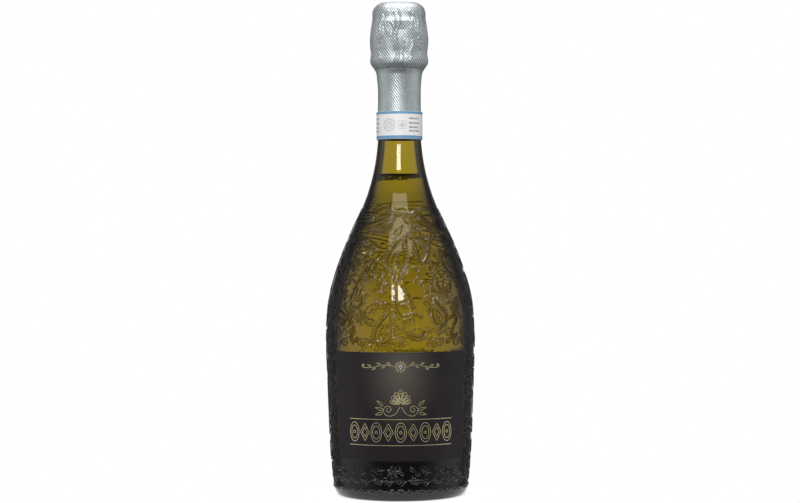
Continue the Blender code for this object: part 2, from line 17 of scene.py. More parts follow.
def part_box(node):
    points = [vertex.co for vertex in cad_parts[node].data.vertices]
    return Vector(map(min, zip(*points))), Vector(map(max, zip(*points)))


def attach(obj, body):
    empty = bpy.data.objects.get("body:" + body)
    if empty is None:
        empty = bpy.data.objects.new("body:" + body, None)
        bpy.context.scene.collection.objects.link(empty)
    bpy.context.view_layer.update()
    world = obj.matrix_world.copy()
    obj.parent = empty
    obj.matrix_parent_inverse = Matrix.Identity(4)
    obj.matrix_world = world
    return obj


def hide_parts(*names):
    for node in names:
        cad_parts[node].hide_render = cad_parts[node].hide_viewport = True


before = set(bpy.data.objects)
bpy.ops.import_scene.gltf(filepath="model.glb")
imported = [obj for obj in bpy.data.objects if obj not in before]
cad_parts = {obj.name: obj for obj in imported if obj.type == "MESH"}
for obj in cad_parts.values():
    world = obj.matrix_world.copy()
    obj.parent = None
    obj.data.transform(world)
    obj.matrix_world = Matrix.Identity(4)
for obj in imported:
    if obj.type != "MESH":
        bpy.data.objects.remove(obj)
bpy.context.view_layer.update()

bl_info = {
    "name": "Sparkling Wine Bottle",
    "version": (1, 0, 0),
    "blender": (4, 5, 0),
    "location": "3D View > Sidebar > Bottle",
    "description": "Dresses a packed sparkling wine bottle in glass, wine, foil, paper, cork and wire",
    "category": "Object",
}

MM = 0.001
FULL_TURN = 2 * math.pi
FRONT = -math.pi / 2
ON_PLANE = 0.000002
CORNER = math.radians(26)
SHARP = math.radians(50)
SEED = 29


# Settings

class GlassSettings(bpy.types.PropertyGroup):
    columns: IntProperty(
        name="Columns", description="Facets round the moulded glass", default=1080, min=48,
    )
    row: FloatProperty(
        name="Row", description="Height of a row of facets on the ornament",
        default=0.27 * MM, unit="LENGTH", precision=5,
    )
    relief: FloatProperty(
        name="Relief", description="How far the moulded ornament stands out",
        default=0.48 * MM, unit="LENGTH", precision=5,
    )
    line: FloatProperty(
        name="Line", description="Half the width of a moulded line at its foot",
        default=0.54 * MM, unit="LENGTH", precision=5,
    )
    ornament_low: FloatProperty(
        name="Ornament foot", description="Height where the ornament starts",
        default=3.5 * MM, unit="LENGTH", precision=4,
    )
    ornament_high: FloatProperty(
        name="Ornament top", description="Height where the ornament ends on the shoulder",
        default=175.0 * MM, unit="LENGTH", precision=4,
    )
    panel_margin: FloatProperty(
        name="Panel margin", description="Smooth glass left round the label",
        default=2.6 * MM, unit="LENGTH", precision=4,
    )
    # Painted shade: below this height the glass is darkened to the edge colour, for the dark heel and punt.
    thick_base: FloatProperty(
        name="Thick base", description="Height up to which the glass is too thick to see through",
        default=33.0 * MM, unit="LENGTH", precision=4,
    )
    tint: FloatVectorProperty(
        name="Tint", description="Light that is left by the tint's depth of glass",
        default=(0.785, 0.723, 0.17), size=3, subtype="COLOR",
    )
    density: FloatProperty(
        name="Density", description="Absorption in a metre of glass", default=1000.0,
    )
    # Painted shade: the colour that the glass is darkened to at a glancing angle and towards its foot.
    edge: FloatVectorProperty(
        name="Edge", description="Colour of the glass seen at a glancing angle",
        default=(0.006, 0.005, 0.008), size=3, subtype="COLOR",
    )
    # Painted shade: the steep sides of the ornament are darkened to this colour, most where they face down.
    flank: FloatVectorProperty(
        name="Flank", description="Colour of the steep sides of the ornament",
        default=(0.03, 0.02, 0.006), size=3, subtype="COLOR",
    )


class WineSettings(bpy.types.PropertyGroup):
    overlap: FloatProperty(
        name="Overlap", description="How far the wine's skin lies inside the wall of the glass",
        default=0.15 * MM, unit="LENGTH", precision=5,
    )
    meniscus: FloatProperty(
        name="Meniscus", description="How high the wine climbs the wall of the glass",
        default=1.5 * MM, unit="LENGTH", precision=4,
    )
    # Painted shade: each bubble is a dark ring painted on the wine.
    bubbles: IntProperty(
        name="Bubbles", description="Bubbles in the ring at the top of the wine", default=12,
    )
    columns: IntProperty(
        name="Columns", description="Facets round the wine", default=480, min=48,
    )
    rim_row: FloatProperty(
        name="Rim row", description="Height of a row of facets near the top of the wine",
        default=0.22 * MM, unit="LENGTH", precision=5,
    )
    rim_depth: FloatProperty(
        name="Rim depth", description="How far from the level the fine rows reach",
        default=6.0 * MM, unit="LENGTH", precision=4,
    )
    tint: FloatVectorProperty(
        name="Tint", description="Colour of the wine in depth",
        default=(0.425, 0.375, 0.067), size=3, subtype="COLOR",
    )
    density: FloatProperty(
        name="Density", description="Absorption in a metre of wine", default=0.8,
    )


class FoilSettings(bpy.types.PropertyGroup):
    columns: IntProperty(
        name="Columns", description="Facets round the hood and the skirt", default=560, min=48,
    )
    row: FloatProperty(
        name="Row", description="Height of a row of facets", default=0.24 * MM,
        unit="LENGTH", precision=5,
    )
    emboss: FloatProperty(
        name="Embossing", description="Depth of the embossed ribs", default=0.15 * MM,
        unit="LENGTH", precision=5,
    )
    across: FloatProperty(
        name="Rib width", description="Distance round the neck between embossed ribs", default=1.60 * MM,
        unit="LENGTH", precision=4,
    )
    along: FloatProperty(
        name="Rib height", description="Distance up the neck between embossed ribs", default=2.16 * MM,
        unit="LENGTH", precision=4,
    )
    crease: FloatProperty(
        name="Crease", description="Height of the folds in the hood", default=0.40 * MM,
        unit="LENGTH", precision=4,
    )
    sheet: FloatProperty(
        name="Sheet", description="Thickness of the foil", default=0.12 * MM,
        unit="LENGTH", precision=5,
    )
    hole_count: IntProperty(
        name="Holes", description="Perforations round the hem of the hood", default=48,
    )
    hole_rise: FloatProperty(
        name="Hole height", description="Height of the perforations over the hem",
        default=0.7 * MM, unit="LENGTH", precision=5,
    )
    colour: FloatVectorProperty(
        name="Colour", description="Colour of the foil", default=(0.88, 0.94, 0.955),
        size=3, subtype="COLOR",
    )


class LabelSettings(bpy.types.PropertyGroup):
    foot: FloatProperty(
        name="Foot", description="Height of the label's lower edge", default=24.5 * MM,
        unit="LENGTH", precision=4,
    )
    paper: FloatProperty(
        name="Paper", description="Thickness of the label", default=0.18 * MM,
        unit="LENGTH", precision=5,
    )
    lift: FloatProperty(
        name="Lift", description="Glue between the label and the glass", default=0.04 * MM,
        unit="LENGTH", precision=5,
    )
    line: FloatProperty(
        name="Line", description="Width of a gold line", default=0.35 * MM,
        unit="LENGTH", precision=5,
    )
    stamp: FloatProperty(
        name="Stamp", description="Thickness of the gold foil", default=0.06 * MM,
        unit="LENGTH", precision=5,
    )
    colour: FloatVectorProperty(
        name="Colour", description="Colour of the label", default=(0.0135, 0.0100, 0.0135),
        size=3, subtype="COLOR",
    )
    # Painted highlight: the front lamp's sheen on the satin, in part a printed glow.
    glow: FloatVectorProperty(
        name="Glow", description="Colour of the label's paler middle", default=(0.105, 0.095, 0.075),
        size=3, subtype="COLOR",
    )
    gold: FloatVectorProperty(
        name="Gold", description="Colour of the stamped gold", default=(0.95, 0.85, 0.48),
        size=3, subtype="COLOR",
    )


class BandSettings(bpy.types.PropertyGroup):
    border: FloatProperty(
        name="Border", description="Height of each coloured border", default=1.9 * MM,
        unit="LENGTH", precision=4,
    )
    print_rise: FloatProperty(
        name="Print", description="Thickness of the printed ink", default=0.02 * MM,
        unit="LENGTH", precision=6,
    )
    paper: FloatVectorProperty(
        name="Paper", description="Colour of the band", default=(0.84, 0.845, 0.84),
        size=3, subtype="COLOR",
    )
    blue: FloatVectorProperty(
        name="Border colour", description="Colour of the borders", default=(0.13, 0.29, 0.47),
        size=3, subtype="COLOR",
    )
    ink: FloatVectorProperty(
        name="Ink", description="Colour of the printed ornament", default=(0.30, 0.31, 0.33),
        size=3, subtype="COLOR",
    )


class StageSettings(bpy.types.PropertyGroup):
    distance: FloatProperty(
        name="Distance", description="From the camera to the bottle's axis", default=1.2,
        unit="LENGTH",
    )
    height: FloatProperty(
        name="Height", description="Height of the camera", default=0.149, unit="LENGTH",
    )
    lens: FloatProperty(
        name="Lens", description="Focal length of the camera in millimetres", default=87.84,
    )
    roll: FloatProperty(
        name="Roll", description="How far the camera leans", default=math.radians(0.25),
        subtype="ANGLE",
    )
    side_light: FloatProperty(
        name="Side light", description="How bright the sides of the room look in metal",
        default=0.70,
    )
    ceiling: FloatProperty(
        name="Ceiling", description="How bright the ceiling looks in metal", default=1.1,
    )
    fill_light: FloatProperty(
        name="Fill light", description="Soft light from the room all round", default=0.44,
    )


# The model's own shapes

def meridian(node):
    """The node's outline as (radius, height) points, walked along its edges on the +X side.

    A flat end has no edge to its middle, so an outline that stops at a rim is led on to the axis.
    """
    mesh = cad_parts[node].data
    points = {}
    for vertex in mesh.vertices:
        x, y, z = vertex.co
        if abs(y) < ON_PLANE and x > -ON_PLANE:
            points[vertex.index] = (round(abs(x), 6), round(z, 6))
    links = {}
    for edge in mesh.edges:
        pair = [points.get(index) for index in edge.vertices]
        if None not in pair and pair[0] != pair[1]:
            links.setdefault(pair[0], set()).add(pair[1])
            links.setdefault(pair[1], set()).add(pair[0])
    ends = [point for point in links if len(links[point]) == 1]
    here = min(ends or links, key=lambda point: (point[1], -point[0]))
    path = [here]
    while True:
        onward = [point for point in links[here] if point not in path]
        if not onward:
            break
        here = max(onward)
        path.append(here)
    if ends and path[0][0] > ON_PLANE:
        path.insert(0, (0.0, path[0][1]))
    if ends and path[-1][0] > ON_PLANE:
        path.append((0.0, path[-1][1]))
    return path


def resampled(outline, spacing):
    """Points along a smooth curve through an outline; its corners stay, and spacing(height) is the step."""
    points = np.array(outline, float)
    legs = np.diff(points, axis=0)
    headings = np.unwrap(np.arctan2(legs[:, 1], legs[:, 0]))
    corners = [i + 1 for i, bend in enumerate(np.diff(headings)) if abs(bend) > CORNER]
    stretches = zip([0, *corners], [*corners, len(points) - 1])
    rows = []
    for first, last in stretches:
        stretch = points[first:last + 1]
        chords = np.linalg.norm(np.diff(stretch, axis=0), axis=1)
        place = np.concatenate([[0], np.cumsum(chords)])
        slopes = np.gradient(stretch, place, axis=0)
        for index, chord in enumerate(chords):
            low, high = stretch[index], stretch[index + 1]
            steps = max(1, round(chord / spacing((low[1] + high[1]) / 2)))
            t = np.arange(steps)[:, None] / steps
            rows.append(
                (2 * t**3 - 3 * t**2 + 1) * low + (t**3 - 2 * t**2 + t) * chord * slopes[index]
                + (3 * t**2 - 2 * t**3) * high + (t**3 - t**2) * chord * slopes[index + 1]
            )
    rows.append(points[-1:])
    return np.vstack(rows)


def lengths_of(outline):
    """Distance along an outline at each of its points."""
    steps = np.linalg.norm(np.diff(outline, axis=0), axis=1)
    return np.concatenate([[0], np.cumsum(steps)])


def turned_rows(outline, angles, push=0.0):
    """Rows of points round the axis for an outline, pushed outwards by a distance each."""
    radii = np.broadcast_to(outline[:, :1] + push, (len(outline), len(angles)))
    heights = np.broadcast_to(outline[:, 1:], radii.shape)
    return np.stack([radii * np.cos(angles), radii * np.sin(angles), heights], axis=-1)


def closed_over(edge, count):
    """Rows that lead a round edge to its middle, from the edge inwards."""
    middle = np.array([0.0, 0.0, edge[:, 2].mean()])
    left = np.linspace(1, 0, count + 1)[1:, None, None]
    return middle + (edge - middle) * left


def round_angles(columns):
    return np.arange(columns) * FULL_TURN / columns


def skinned(name, rows, looped=False, open_side=False, **marks):
    """An object skinned over rows of points, with marks that give a value at each point.

    A row that shrinks to the axis becomes one point. Rows that are looped and open at their sides
    run up the outside and back down the inside of a sheet, whose two side edges get faces.
    """
    rows = np.asarray(rows, float)
    count, columns, _ = rows.shape
    index = np.arange(count * columns).reshape(count, columns)
    here, after = (index, np.roll(index, -1, 0)) if looped else (index[:-1], index[1:])
    beside, beyond = np.roll(here, -1, 1), np.roll(after, -1, 1)
    if open_side:
        here, after, beside, beyond = (grid[:, :-1] for grid in (here, after, beside, beyond))
    faces = np.stack([here, beside, beyond, after], axis=-1).reshape(-1, 4)
    if looped and open_side:
        half = count // 2
        for side, step in ((index[:, 0], 1), (index[:, -1], -1)):
            back = side[::-1]
            ends = np.stack([side[:half - 1], side[1:half], back[1:half], back[:half - 1]], axis=-1)
            faces = np.vstack([faces, ends[:, ::step]])
    mesh = bpy.data.meshes.new(name)
    mesh.from_pydata(rows.reshape(-1, 3).tolist(), [], faces.tolist())
    for mark, values in marks.items():
        layer = mesh.attributes.new(mark, "FLOAT", "POINT")
        layer.data.foreach_set("value", np.asarray(values, np.float32).ravel())
    shape = bmesh.new()
    shape.from_mesh(mesh)
    poles = [v for v in shape.verts if math.hypot(v.co.x, v.co.y) < ON_PLANE]
    bmesh.ops.remove_doubles(shape, verts=poles, dist=ON_PLANE)
    return linked(name, shape, mesh)


def linked(name, shape, mesh=None):
    """An object that holds the bmesh, shaded smooth between its sharp edges."""
    mesh = mesh or bpy.data.meshes.new(name)
    shape.to_mesh(mesh)
    shape.free()
    mesh.shade_smooth()
    mesh.set_sharp_from_angle(angle=SHARP)
    piece = bpy.data.objects.new(name, mesh)
    bpy.context.scene.collection.objects.link(piece)
    return piece


def dressed(piece, material, body, slot, *nodes):
    """Gives a piece its finish and its body, and hides the model's nodes that it stands for."""
    piece.data.materials.append(material)
    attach(piece, body)
    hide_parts(*nodes)
    return piece


def turned_piece(node, sides, spacing):
    """The model's turned node made again with more facets."""
    outline = meridian(node)
    on_axis = outline[0][0] < ON_PLANE
    if not on_axis:
        outline.append(outline[0])
    smooth_outline = resampled(outline, lambda height: spacing)
    rows = turned_rows(smooth_outline if on_axis else smooth_outline[:-1], round_angles(sides))
    return skinned(node + "_fine", rows, looped=not on_axis)


# Materials

class Recipe:
    """A node tree built a node at a time."""

    def __init__(self, owner):
        owner.use_nodes = True
        self.owner = owner
        self.tree = owner.node_tree
        self.shader = self.tree.nodes.get("Principled BSDF")
        self.output = self.tree.nodes.get("Material Output") or self.tree.nodes["World Output"]

    def fill(self, node, inputs):
        for name, value in inputs.items():
            if isinstance(value, bpy.types.NodeSocket):
                self.tree.links.new(value, node.inputs[name])
            else:
                node.inputs[name].default_value = value
        return node

    def add(self, kind, inputs=None, **settings):
        node = self.tree.nodes.new("ShaderNode" + kind)
        for name, value in settings.items():
            setattr(node, name, value)
        return self.fill(node, inputs or {})

    def sum_up(self, operation, first, second=0.0, third=0.0):
        return self.add("Math", {0: first, 1: second, 2: third}, operation=operation).outputs[0]

    def ramp(self, factor, *stops):
        """A colour ramp from (place, colour) stops."""
        node = self.add("ValToRGB", {"Fac": factor})
        stop_list = node.color_ramp.elements
        while len(stop_list) < len(stops):
            stop_list.new(1.0)
        for element, (place, colour) in zip(stop_list, stops):
            element.position = place
            element.color = (*colour, 1)
        return node.outputs["Color"]

    def greys(self, factor, *stops):
        """A ramp of greys from (place, level) stops."""
        return self.ramp(factor, *((place, (level,) * 3) for place, level in stops))

    def mixed(self, factor, first, second, blend="MIX"):
        node = self.add("Mix", {"Factor": factor}, data_type="RGBA", blend_type=blend)
        self.fill_colour(node, 6, first)
        self.fill_colour(node, 7, second)
        return node.outputs[2]

    def fill_colour(self, node, index, value):
        if isinstance(value, bpy.types.NodeSocket):
            self.tree.links.new(value, node.inputs[index])
        else:
            node.inputs[index].default_value = (*value, 1)

    def coordinates(self, scale=(1, 1, 1)):
        place = self.add("TexCoord").outputs["Object"]
        return self.add("Mapping", {"Vector": place, "Scale": scale}).outputs[0]

    def shown(self):
        """1 where the background is seen: by the camera, and in metal and through glass."""
        rays = self.add("LightPath").outputs
        seen = self.sum_up("ADD", rays["Is Camera Ray"], rays["Is Glossy Ray"])
        return self.sum_up("MINIMUM", self.sum_up("ADD", seen, rays["Is Transmission Ray"]), 1.0)

    def bump(self, height, distance, strength=1.0):
        node = self.add("Bump", {"Height": height, "Distance": distance, "Strength": strength})
        return node.outputs[0]


def material(name, **inputs):
    """A Principled material's recipe; underscores in an input's name stand for spaces."""
    recipe = Recipe(bpy.data.materials.new(name))
    recipe.fill(recipe.shader, {key.replace("_", " "): value for key, value in inputs.items()})
    return recipe


def glass_material(sizes):
    """Bottle glass with painted shade: it darkens at a glancing angle, on the steep sides of its ornament
    and towards its foot.
    """
    glass = material(
        "moulded green glass", Roughness=0.012, IOR=1.52, Transmission_Weight=1.0,
    )
    # Painted shade at a glancing angle: the glass darkens to the edge colour towards its silhouette.
    facing = glass.add("LayerWeight", {"Blend": 0.5}).outputs["Facing"]
    clear = (1.0, 1.0, 1.0)
    body = glass.ramp(facing, (0.35, clear), (0.43, (0.28, 0.26, 0.20)), (0.49, tuple(sizes.edge)))
    # Painted shade on the ornament's steep sides, only where a ray meets the glass from outside.
    flank = glass.add("Attribute", attribute_name="flank").outputs["Fac"]
    inside = glass.add("NewGeometry").outputs["Backfacing"]
    flank = glass.sum_up("MULTIPLY", flank, glass.sum_up("SUBTRACT", 1.0, inside))
    outlines = glass.ramp(flank, (0.30, clear), (0.84, tuple(sizes.flank)))
    # Painted shade towards the foot of the glass.
    thick = glass.add("Attribute", attribute_name="thick").outputs["Fac"]
    base = glass.ramp(thick, (0.0, clear), (1.0, tuple(sizes.edge)))
    colour = glass.mixed(1.0, glass.mixed(1.0, body, outlines, "MULTIPLY"), base, "MULTIPLY")
    glass.fill(glass.shader, {"Base Color": colour})
    absorption = glass.add("VolumeAbsorption", {"Color": (*sizes.tint, 1), "Density": sizes.density})
    glass.fill(glass.output, {"Volume": absorption.outputs[0]})
    return glass.owner


def wine_material(sizes):
    wine = material("pale straw wine", Roughness=0.0, IOR=1.34, Transmission_Weight=1.0)
    # Painted shade: the wine darkens where the rim mark is set, along its climb up the wall and round the
    # bubbles.
    rim = wine.add("Attribute", attribute_name="rim").outputs["Fac"]
    wine.fill(wine.shader, {"Base Color": wine.ramp(rim, (0.0, (1, 1, 1)), (1.0, (0.02, 0.018, 0.01)))})
    absorption = wine.add("VolumeAbsorption", {"Color": (*sizes.tint, 1), "Density": sizes.density})
    wine.fill(wine.output, {"Volume": absorption.outputs[0]})
    return wine.owner


def foil_material(sizes, name, roughness):
    """Embossed aluminium foil with fine rubbing, a breath of colour variation and painted shade in its
    embossed valleys and perforations.
    """
    foil = material(name, Metallic=1.0, Roughness=roughness)
    grain = foil.add("TexNoise", {"Vector": foil.coordinates(), "Scale": 900.0, "Detail": 3.0})
    cloud = foil.add("TexNoise", {"Vector": foil.coordinates(), "Scale": 90.0, "Detail": 2.0})
    low = tuple(0.88 * part for part in sizes.colour)
    plain = foil.ramp(cloud.outputs["Fac"], (0.35, low), (0.65, tuple(sizes.colour)))
    # Painted shade: darker in the valleys of the embossing, and near black in the holes.
    dull = foil.add("Attribute", attribute_name="dull").outputs["Fac"]
    unshaded, valley_shade = (1.0, 1.0, 1.0), (0.42, 0.45, 0.47)
    shade = foil.ramp(dull, (0.0, unshaded), (0.4, valley_shade), (0.6, (0.3, 0.3, 0.3)), (1.0, (0.01, 0.01, 0.01)))
    colour = foil.mixed(1.0, plain, shade, "MULTIPLY")
    rough = foil.add("MapRange", {
        "Value": cloud.outputs["Fac"], "From Min": 0.3, "From Max": 0.7,
        "To Min": 0.9 * roughness, "To Max": 1.1 * roughness,
    })
    foil.fill(foil.shader, {
        "Base Color": colour, "Roughness": rough.outputs[0],
        "Normal": foil.bump(grain.outputs["Fac"], 0.02 * MM, 0.6),
    })
    return foil.owner


def label_material(sizes):
    """Black satin paper with a fine tooth and a painted highlight in its paler middle."""
    paper = material("black satin paper", Roughness=0.42, Specular_IOR_Level=0.27)
    grain = paper.add("TexNoise", {"Vector": paper.coordinates(), "Scale": 1600.0, "Detail": 4.0})
    cloud = paper.add("TexNoise", {"Vector": paper.coordinates(), "Scale": 60.0, "Detail": 2.0})
    lighter = tuple(1.25 * part for part in sizes.colour)
    dark = paper.ramp(cloud.outputs["Fac"], (0.3, tuple(sizes.colour)), (0.7, lighter))
    # Painted highlight in the label's middle.
    glow = paper.add("Attribute", attribute_name="glow").outputs["Fac"]
    paper.fill(paper.shader, {
        "Base Color": paper.mixed(glow, dark, tuple(sizes.glow)),
        "Normal": paper.bump(grain.outputs["Fac"], 0.012 * MM, 0.5),
    })
    return paper.owner


def gold_material(sizes):
    gold = material("stamped gold", Metallic=1.0, Roughness=0.42)
    wear = gold.add("TexNoise", {"Vector": gold.coordinates(), "Scale": 500.0, "Detail": 3.0})
    low = tuple(0.78 * part for part in sizes.gold)
    gold.fill(gold.shader, {
        "Base Color": gold.ramp(wear.outputs["Fac"], (0.35, low), (0.6, tuple(sizes.gold))),
    })
    return gold.owner


def stone_material():
    stone = material("pale rose stone", Roughness=0.0, IOR=1.75, Transmission_Weight=0.75)
    stone.fill(stone.shader, {"Base Color": (0.95, 0.74, 0.72, 1)})
    return stone.owner


def paper_material(sizes):
    """Coated white paper."""
    paper = material("coated white paper", Roughness=0.4)
    grain = paper.add("TexNoise", {"Vector": paper.coordinates(), "Scale": 1500.0, "Detail": 3.0})
    low = tuple(0.96 * part for part in sizes.paper)
    paper.fill(paper.shader, {
        "Base Color": paper.ramp(grain.outputs["Fac"], (0.3, low), (0.7, tuple(sizes.paper))),
        "Normal": paper.bump(grain.outputs["Fac"], 0.01 * MM, 0.4),
    })
    return paper.owner


def ink_material(name, colour):
    ink = material(name, Roughness=0.45)
    mottle = ink.add("TexNoise", {"Vector": ink.coordinates(), "Scale": 1400.0, "Detail": 2.0})
    lighter = tuple(min(1.0, 1.25 * part) for part in colour)
    ink.fill(ink.shader, {
        "Base Color": ink.ramp(mottle.outputs["Fac"], (0.35, tuple(colour)), (0.7, lighter)),
    })
    return ink.owner


def cork_material(name, pressed):
    """Pressed cork is crumbs in glue; natural cork has long pores."""
    cork = material(name, Roughness=0.85)
    stretch = (1, 1, 1) if pressed else (1, 1, 0.3)
    place = cork.coordinates(stretch)
    crumbs = cork.add("TexVoronoi", {"Vector": place, "Scale": 620.0 if pressed else 260.0})
    pores = cork.add("TexNoise", {"Vector": place, "Scale": 700.0, "Detail": 5.0})
    tone = cork.ramp(
        crumbs.outputs["Color"], (0.1, (0.30, 0.17, 0.075)), (0.5, (0.46, 0.28, 0.135)),
        (0.9, (0.56, 0.37, 0.19)),
    )
    dark = cork.ramp(pores.outputs["Fac"], (0.36, (0.25, 0.2, 0.16)), (0.46, (1.0, 1.0, 1.0)))
    cork.fill(cork.shader, {
        "Base Color": cork.mixed(1.0, tone, dark, "MULTIPLY"),
        "Normal": cork.bump(pores.outputs["Fac"], 0.15 * MM, 0.6),
    })
    return cork.owner


def metal_material(name, colour, roughness, scale):
    """Drawn or rolled steel: a base colour with fine dull patches."""
    metal = material(name, Metallic=1.0, Roughness=roughness)
    patches = metal.add("TexNoise", {"Vector": metal.coordinates(), "Scale": scale, "Detail": 4.0})
    dull = tuple(0.75 * part for part in colour)
    rough = metal.add("MapRange", {
        "Value": patches.outputs["Fac"], "From Min": 0.3, "From Max": 0.7,
        "To Min": 0.8 * roughness, "To Max": 1.3 * roughness,
    })
    metal.fill(metal.shader, {
        "Base Color": metal.ramp(patches.outputs["Fac"], (0.35, dull), (0.6, colour)),
        "Roughness": rough.outputs[0],
    })
    return metal.owner


# Ornament, drawn as strokes: (points, share of the line's width, share of its height)

def circle(radius, steps, centre=(0.0, 0.0)):
    turns = np.linspace(0, FULL_TURN, steps + 1)
    return np.stack([centre[0] + radius * np.cos(turns), centre[1] + radius * np.sin(turns)], 1)


def teardrop(width, height, bend, steps, centre=(0.0, 0.0), turn=0.0):
    """A closed drop with its tip up, bent to one side and turned about its centre."""
    turns = np.linspace(0, FULL_TURN, steps + 1)
    up = height * np.cos(turns)
    across = width * np.sin(turns) * np.sin(turns / 2)**1.5
    across = across + bend * ((up + height) / (2 * height))**2.2
    cos, sin = math.cos(turn), math.sin(turn)
    return np.stack([
        centre[0] + across * cos - up * sin, centre[1] + across * sin + up * cos,
    ], 1)


def dot(x, y, share=1.0):
    return (np.array([(x, y), (x, y)], float), share, share)


def dashes(outline, near, far, count, first, last):
    """Short dashes standing out from a closed outline, between two shares of its length."""
    strokes = []
    for step in range(count):
        share = first + (last - first) * step / (count - 1)
        place = share * (len(outline) - 1)
        index = min(int(place), len(outline) - 2)
        point = outline[index] + (outline[index + 1] - outline[index]) * (place - index)
        ahead = outline[index + 1] - outline[index]
        out = np.array([ahead[1], -ahead[0]]) / (np.linalg.norm(ahead) + 1e-9)
        if out @ (point - outline.mean(0)) < 0:
            out = -out
        strokes.append((np.array([point + out * near, point + out * far]), 0.8, 0.95))
    return strokes


def paisley():
    outline = teardrop(0.60, 0.82, 0.62, 36)
    heart = teardrop(0.27, 0.38, 0.22, 20, (-0.02, -0.24))
    return [
        (outline, 1.1, 1.0), (heart, 0.8, 0.8), dot(-0.02, -0.34, 1.3),
        *dashes(outline, 0.10, 0.20, 26, 0.12, 0.88),
    ]


def beaded_paisley():
    outline = teardrop(0.54, 0.84, -0.62, 32)
    beads = [dot(*(point * 1.22 + (0.02, 0.0)), 1.3) for point in outline[4:-4:2]]
    petals = [teardrop(0.10, 0.19, 0.0, 10, (0.0, -0.30), turn) for turn in (-0.9, 0.0, 0.9)]
    stem = np.array([(0.0, -0.05), (-0.06, 0.2), (-0.2, 0.42)])
    return [(outline, 1.1, 1.0), (stem, 0.8, 0.8), *beads, *[(petal, 0.7, 0.8) for petal in petals]]


def blossom():
    strokes = [(circle(0.20, 12), 0.8, 0.9)]
    for petal in range(7):
        turn = FULL_TURN * petal / 7
        centre = (-0.60 * math.sin(turn), 0.60 * math.cos(turn))
        strokes.append((teardrop(0.22, 0.28, 0.0, 12, centre, turn + math.pi), 0.8, 0.9))
    return strokes


def sprig():
    climb = np.linspace(-0.95, 0.72, 16)
    stem = np.stack([0.18 * np.sin(2.6 * climb), climb], 1)
    strokes = [(stem, 0.9, 1.0), (teardrop(0.16, 0.24, 0.05, 12, stem[-1] + (0.04, 0.14)), 0.8, 0.9)]
    for level in (4, 9, 13):
        for side in (-1, 1):
            turn = -side * 0.95
            reach = 0.50 - 0.016 * level
            centre = stem[level] + (side * 0.8 * reach, 0.55 * reach)
            strokes.append((teardrop(0.40 * reach, 0.80 * reach, 0.0, 12, centre, turn), 0.8, 0.85))
    return strokes


def scroll():
    """Two spirals joined in an S, an Euler spiral."""
    run = np.linspace(-2.2, 2.2, 70)
    step = run[1] - run[0]
    heading = math.pi * run * np.abs(run) / 2 * np.sign(run)
    curve = np.stack([np.cumsum(np.cos(heading)), np.cumsum(np.sin(heading))], 1) * step
    curve = curve - (curve[0] + curve[-1]) / 2
    curve = curve / np.abs(curve).max() * 0.92
    leaf = teardrop(0.13, 0.26, 0.1, 12, (0.22, 0.42), -0.5)
    return [(curve, 1.0, 1.0), (leaf, 0.8, 0.8), (-leaf, 0.8, 0.8)]


def vine():
    climb = np.linspace(-0.98, 0.98, 26)
    stem = np.stack([0.26 * np.sin(math.pi * climb), climb], 1)
    beads = [dot(point[0] + 0.20, point[1], 1.1) for point in stem[2:12:2]]
    beads += [dot(point[0] - 0.20, point[1], 1.1) for point in stem[14:25:2]]
    low = teardrop(0.14, 0.25, 0.06, 12, (0.28, -0.62), -0.6)
    high = teardrop(0.14, 0.25, 0.06, 12, (-0.28, 0.62), 2.5)
    return [(stem, 1.1, 1.0), *beads, (low, 0.8, 0.85), (high, 0.8, 0.85)]


def ring():
    return [(circle(0.74, 16), 0.9, 1.0), dot(0, 0, 1.5)]


def lozenge():
    corners = np.array([(0, 0.86), (0.5, 0), (0, -0.86), (-0.5, 0), (0, 0.86)])
    return [(corners, 0.9, 1.0), dot(0, 0, 1.2)]


def eyed_drop():
    return [(teardrop(0.55, 0.82, 0.22, 16), 0.9, 1.0), dot(-0.02, -0.30, 1.2)]


def tendril():
    """A long shallow S, for the top edge of the ornament."""
    run = np.linspace(-1, 1, 22)
    return [(np.stack([run, 0.10 * np.sin(math.pi * run) + 0.04 * run], 1), 1.2, 1.0)]


def long_leaf():
    """A slender leaf lying on its side, with its tips drawn out."""
    run = np.linspace(-1, 1, 22)
    bulge = 0.14 * (1 - run**2)
    bend = 0.10 * np.sin(2.4 * run)
    return [(np.stack([run, bend + bulge], 1), 1.1, 1.0), (np.stack([0.9 * run, bend - bulge], 1), 1.0, 0.9)]


def swag():
    """A hanging U with a toothed inner edge, for the row over the label."""
    turns = np.linspace(math.radians(-172), math.radians(-8), 22)
    outer = np.stack([0.86 * np.cos(turns), 0.80 * np.sin(turns) + 0.25], 1)
    inner = outer * 0.55 + (0, 0.12)
    teeth = dashes(np.vstack([outer, outer[:1]]), -0.30, -0.16, 13, 0.04, 0.92)
    return [(outer, 1.3, 1.0), (inner, 0.9, 0.8), *teeth, dot(-0.2, 0.34, 1.4), dot(0.2, 0.34, 1.4)]


# The large motifs of one side as (motif, place round the wall, height, turn, size), in millimetres
SIDE_GROUP = (
    (paisley, -11.4, 104.0, 0.10, 11.5),
    (swag, 10.2, 100.5, 0.05, 7.6),
    (beaded_paisley, 3.6, 121.5, -0.12, 13.0),
    (paisley, 22.0, 112.5, 0.75, 10.0),
    (paisley, -4.0, 147.0, 0.22, 13.0),
    (beaded_paisley, -25.5, 124.0, -0.5, 11.0),
    (scroll, 21.0, 134.0, 0.9, 8.5),
    (vine, -31.0, 101.0, 0.15, 7.5),
    (vine, 35.5, 104.5, -0.15, 8.0),
)
SIDES = 3

